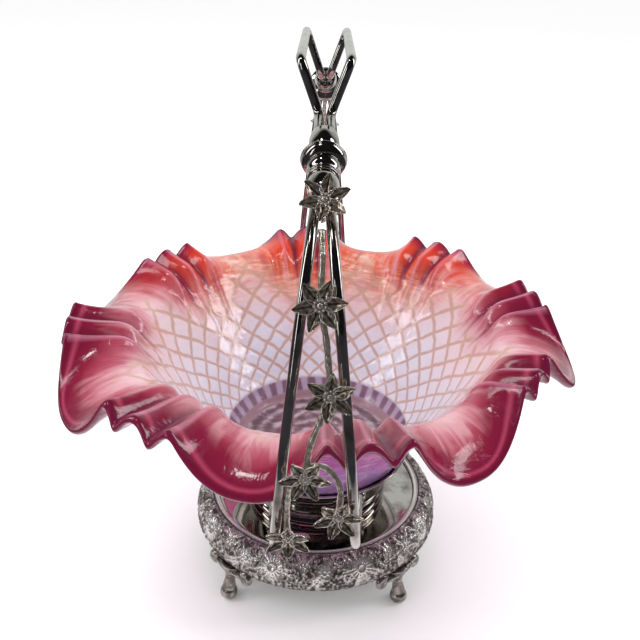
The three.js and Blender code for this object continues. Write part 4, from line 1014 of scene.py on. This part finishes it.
# Collars: three turned beads threaded over each pair of rods, a small one, a wide disc on its step,
# and a long one. Their joints show as thin bright lines.
bead_bore = (pinch_half_width + rod_radius + seat_gap) / np.cos(np.pi / 16)
upper_outline = [
    (5.3, 0.0), (6.2, 0.1), (6.4, 0.8), (6.1, 1.5), (5.4, 1.8), (5.7, 2.6), (6.2, 4.4), (6.3, 6.6),
    (6.1, 9.0), (5.6, 11.0), (5.3, upper_bead_length)
]
disc_outline = [
    (5.3, -step_length), (5.9, -5.8), (6.0, -5.3), (5.5, -4.9), (5.8, -4.2), (6.5, -2.8), (6.7, -1.2),
    (6.3, -0.1), (7.2, 0.2), (8.4, 1.2), (9.0, 2.6), (9.0, 3.3), (9.3, 3.6), (9.3, 4.3), (8.9, 4.7),
    (7.8, 5.3), (6.4, 6.0), (5.3, disc_length)
]
lower_outline = [
    (5.3, 0.0), (5.8, 1.6), (6.2, 4.2), (6.1, 6.6), (5.6, 8.2), (5.5, 8.7), (6.1, 8.9), (6.3, 9.5),
    (6.0, 10.2), (5.3, lower_bead_length)
]
for end_name, end in ends:
    for name, outline, down in [
        ("upper_bead", upper_outline, -disc_length / 2 - seat_gap),
        ("disc_bead", disc_outline, disc_length / 2), ("lower_bead", lower_outline, lower_end)
    ]:
        node = f"{end_name}_{name}"
        bore = [(bead_bore, outline[-1][1]), (bead_bore, outline[0][1])]
        reach, height = collar_place(down)
        parts, middle = [rounded(outline, 2), bore], (0, end * reach, height)
        turned_piece("turned_" + node, node, parts, 72, end * collar_tilt, middle)

# Vine and flowers: cast in the same white metal, soldered along each arm and browned with age. Each
# flower has six pointed, grooved petals round a beaded eye.
flower_run_share = [0.045, 0.305, 0.525, 0.75, 0.883, 0.965]
flower_side_share = [-0.25, 0.02, -0.43, 0.32, -0.6, 0.67]
flower_turn = [20, 8, 25, 0, 12, 30]
flower_tilt = [12, 0, 0, 0, 0, 0]
flower_lift = [rod_radius + seat_gap + 1.0] + [rod_radius + seat_gap] * 5
flower_radius, petal_count, seed_count = 10.0, 6, 9
vine_radius, vine_step = 1.25, 0.7
arm_route = filleted(arm_corners[1:6], 3)[:-3]
arm_way = np.diff(arm_route, axis=0)
arm_run = run_along(arm_route)


def beside_arm(share, side_share, lift):
    """A place beside the arm: a share of its length, a share of its half width, and a lift off its
    outer face, square to its slope. Gives the point and the arm's slope there."""
    length = share * arm_run[-1]
    half, reach, height = (np.interp(length, arm_run, part) for part in arm_route.T)
    piece = max(np.searchsorted(arm_run, length) - 1, 0)
    slope = np.arctan2(arm_way[piece, 2], arm_way[piece, 1])
    place = [side_share * half, reach - lift * np.sin(slope), height + lift * np.cos(slope)]
    return np.array(place), slope


def petal_skin(degrees):
    """A petal: rings across it, wide at a third of its length and pointed at its tip, hollowed along
    its middle with a rib in the hollow, and lifted towards the tip."""
    share = np.linspace(0, 1, 22)[:, None]
    half = 3.0 * np.sin(np.pi * share**0.72) ** 0.75 * (1 - 0.25 * share) + 0.02
    half = np.maximum(half, 1.1 * (1 - share) ** 2)
    across = np.concatenate([np.linspace(-1, 1, 15), np.linspace(1, -1, 15)[1:-1]])
    upper = np.arange(len(across)) < 15
    hollow = 0.75 * across**2 - 0.55 * np.exp(-((across / 0.16) ** 2)) + 0.45
    veins = 0.10 * np.cos(16 * share + 5 * np.abs(across))
    thick = 0.75 * hump(across, 0.5) + 0.15
    face = np.where(upper, hollow + veins, hollow - thick - 0.35)
    height = 1.15 + 2.6 * share**1.6 + face * np.minimum(half, 1)
    reach = 1.2 + (flower_radius - 1.2) * share + 0 * across
    points = np.stack([reach, half * across, np.maximum(height, 0.05)], -1)
    caps = [np.repeat(points[i : i + 1].mean(1, keepdims=True), across.size, 1) for i in (0, -1)]
    points = np.concatenate([caps[0], points, caps[1]])
    return turned_about_z(points.reshape(-1, 3), degrees), grid_faces(len(points), across.size)


flower_skins = [petal_skin(360 / petal_count * i) for i in range(petal_count)]
flower_skins.append(ball((0, 0, 1.0), (2.9, 2.9, 1.3), 10, 24))
flower_skins.append(ball((0, 0, 2.3), (1.1, 1.1, 0.8), 10, 14))
for seed in full_turn(seed_count):
    flower_skins.append(ball((2.1 * np.cos(seed), 2.1 * np.sin(seed), 2.2), (0.55,) * 3, 8, 10))
flower_points, flower_faces = joined_skins(flower_skins)

# Browned cast plate: grey brown on its flats, darkened to umber in its grooves by tarnish and painted
# shade, and paled to warm grey on edges and tips by wear and a painted highlight.
brown_shade_and_wear_stops = [(0.42, "#1e1915"), (0.48, "#695e53"), (0.52, "#a89d90"), (0.57, "#ece6dd")]
brown_plate = cast_metal("browned_cast_plate", brown_shade_and_wear_stops, 2.5, 0.65, 0.12, 0.85, 0.2, (0.35, 0.2))
# each vine's shares of the arm's length and of its half width
vine_routes = [
    [
        (0.12, 0), (0.21, -0.08), (0.305, 0), (0.386, -0.3), (0.458, -0.4), (0.525, -0.43), (0.598, -0.1),
        (0.666, 0.2), (0.75, 0.32)
    ],
    [(0.733, 0.29), (0.728, -0.2), (0.767, -0.56), (0.811, -0.68), (0.888, -0.6)],
    [(0.75, 0.32), (0.761, 0.6), (0.8, 0.74), (0.888, 0.75), (0.97, 0.69)]
]
vine_skins = []
for route in vine_routes:
    knots = np.array([beside_arm(share, side, rod_radius - vine_radius)[0] for share, side in route])
    way = np.gradient(knots, axis=0)
    t = np.linspace(0, len(knots) - 1, 12 * len(knots))
    i = np.minimum(t.astype(int), len(knots) - 2)
    a, b, c = cubic_shares((t - i)[:, None])
    smooth = knots[i] + a * (knots[i + 1] - knots[i]) + b * way[i] + c * way[i + 1]
    even = evenly(smooth, int(run_along(smooth)[-1] / vine_step) + 2)
    step = np.arange(len(even))
    knobbly = 1 + 0.1 * np.sin(step * 0.55) ** 3 + 0.05 * np.cos(step * 1.3)
    vine_skins.append(swept(even, vine_radius * knobbly, 16))
vine_points, vine_faces = joined_skins(vine_skins)
for end_name, end in ends:
    hand = (end, end, 1)
    node = end_name + "_vine"
    make_piece("cast_" + node, vine_points * hand, vine_faces, brown_plate, "stand", node)
    flowers = zip(flower_run_share, flower_side_share, flower_lift, flower_turn, flower_tilt)
    for number, (share, side, lift, turn, tilt) in enumerate(flowers, 1):
        middle, slope = beside_arm(share, side, lift)
        leaned = tilted(turned_about_z(flower_points, turn), slope - np.radians(tilt))
        node = f"{end_name}_flower_{number}"
        make_piece(
            "cast_" + node, (leaned + middle) * hand, flower_faces, brown_plate, "stand", node,
        )
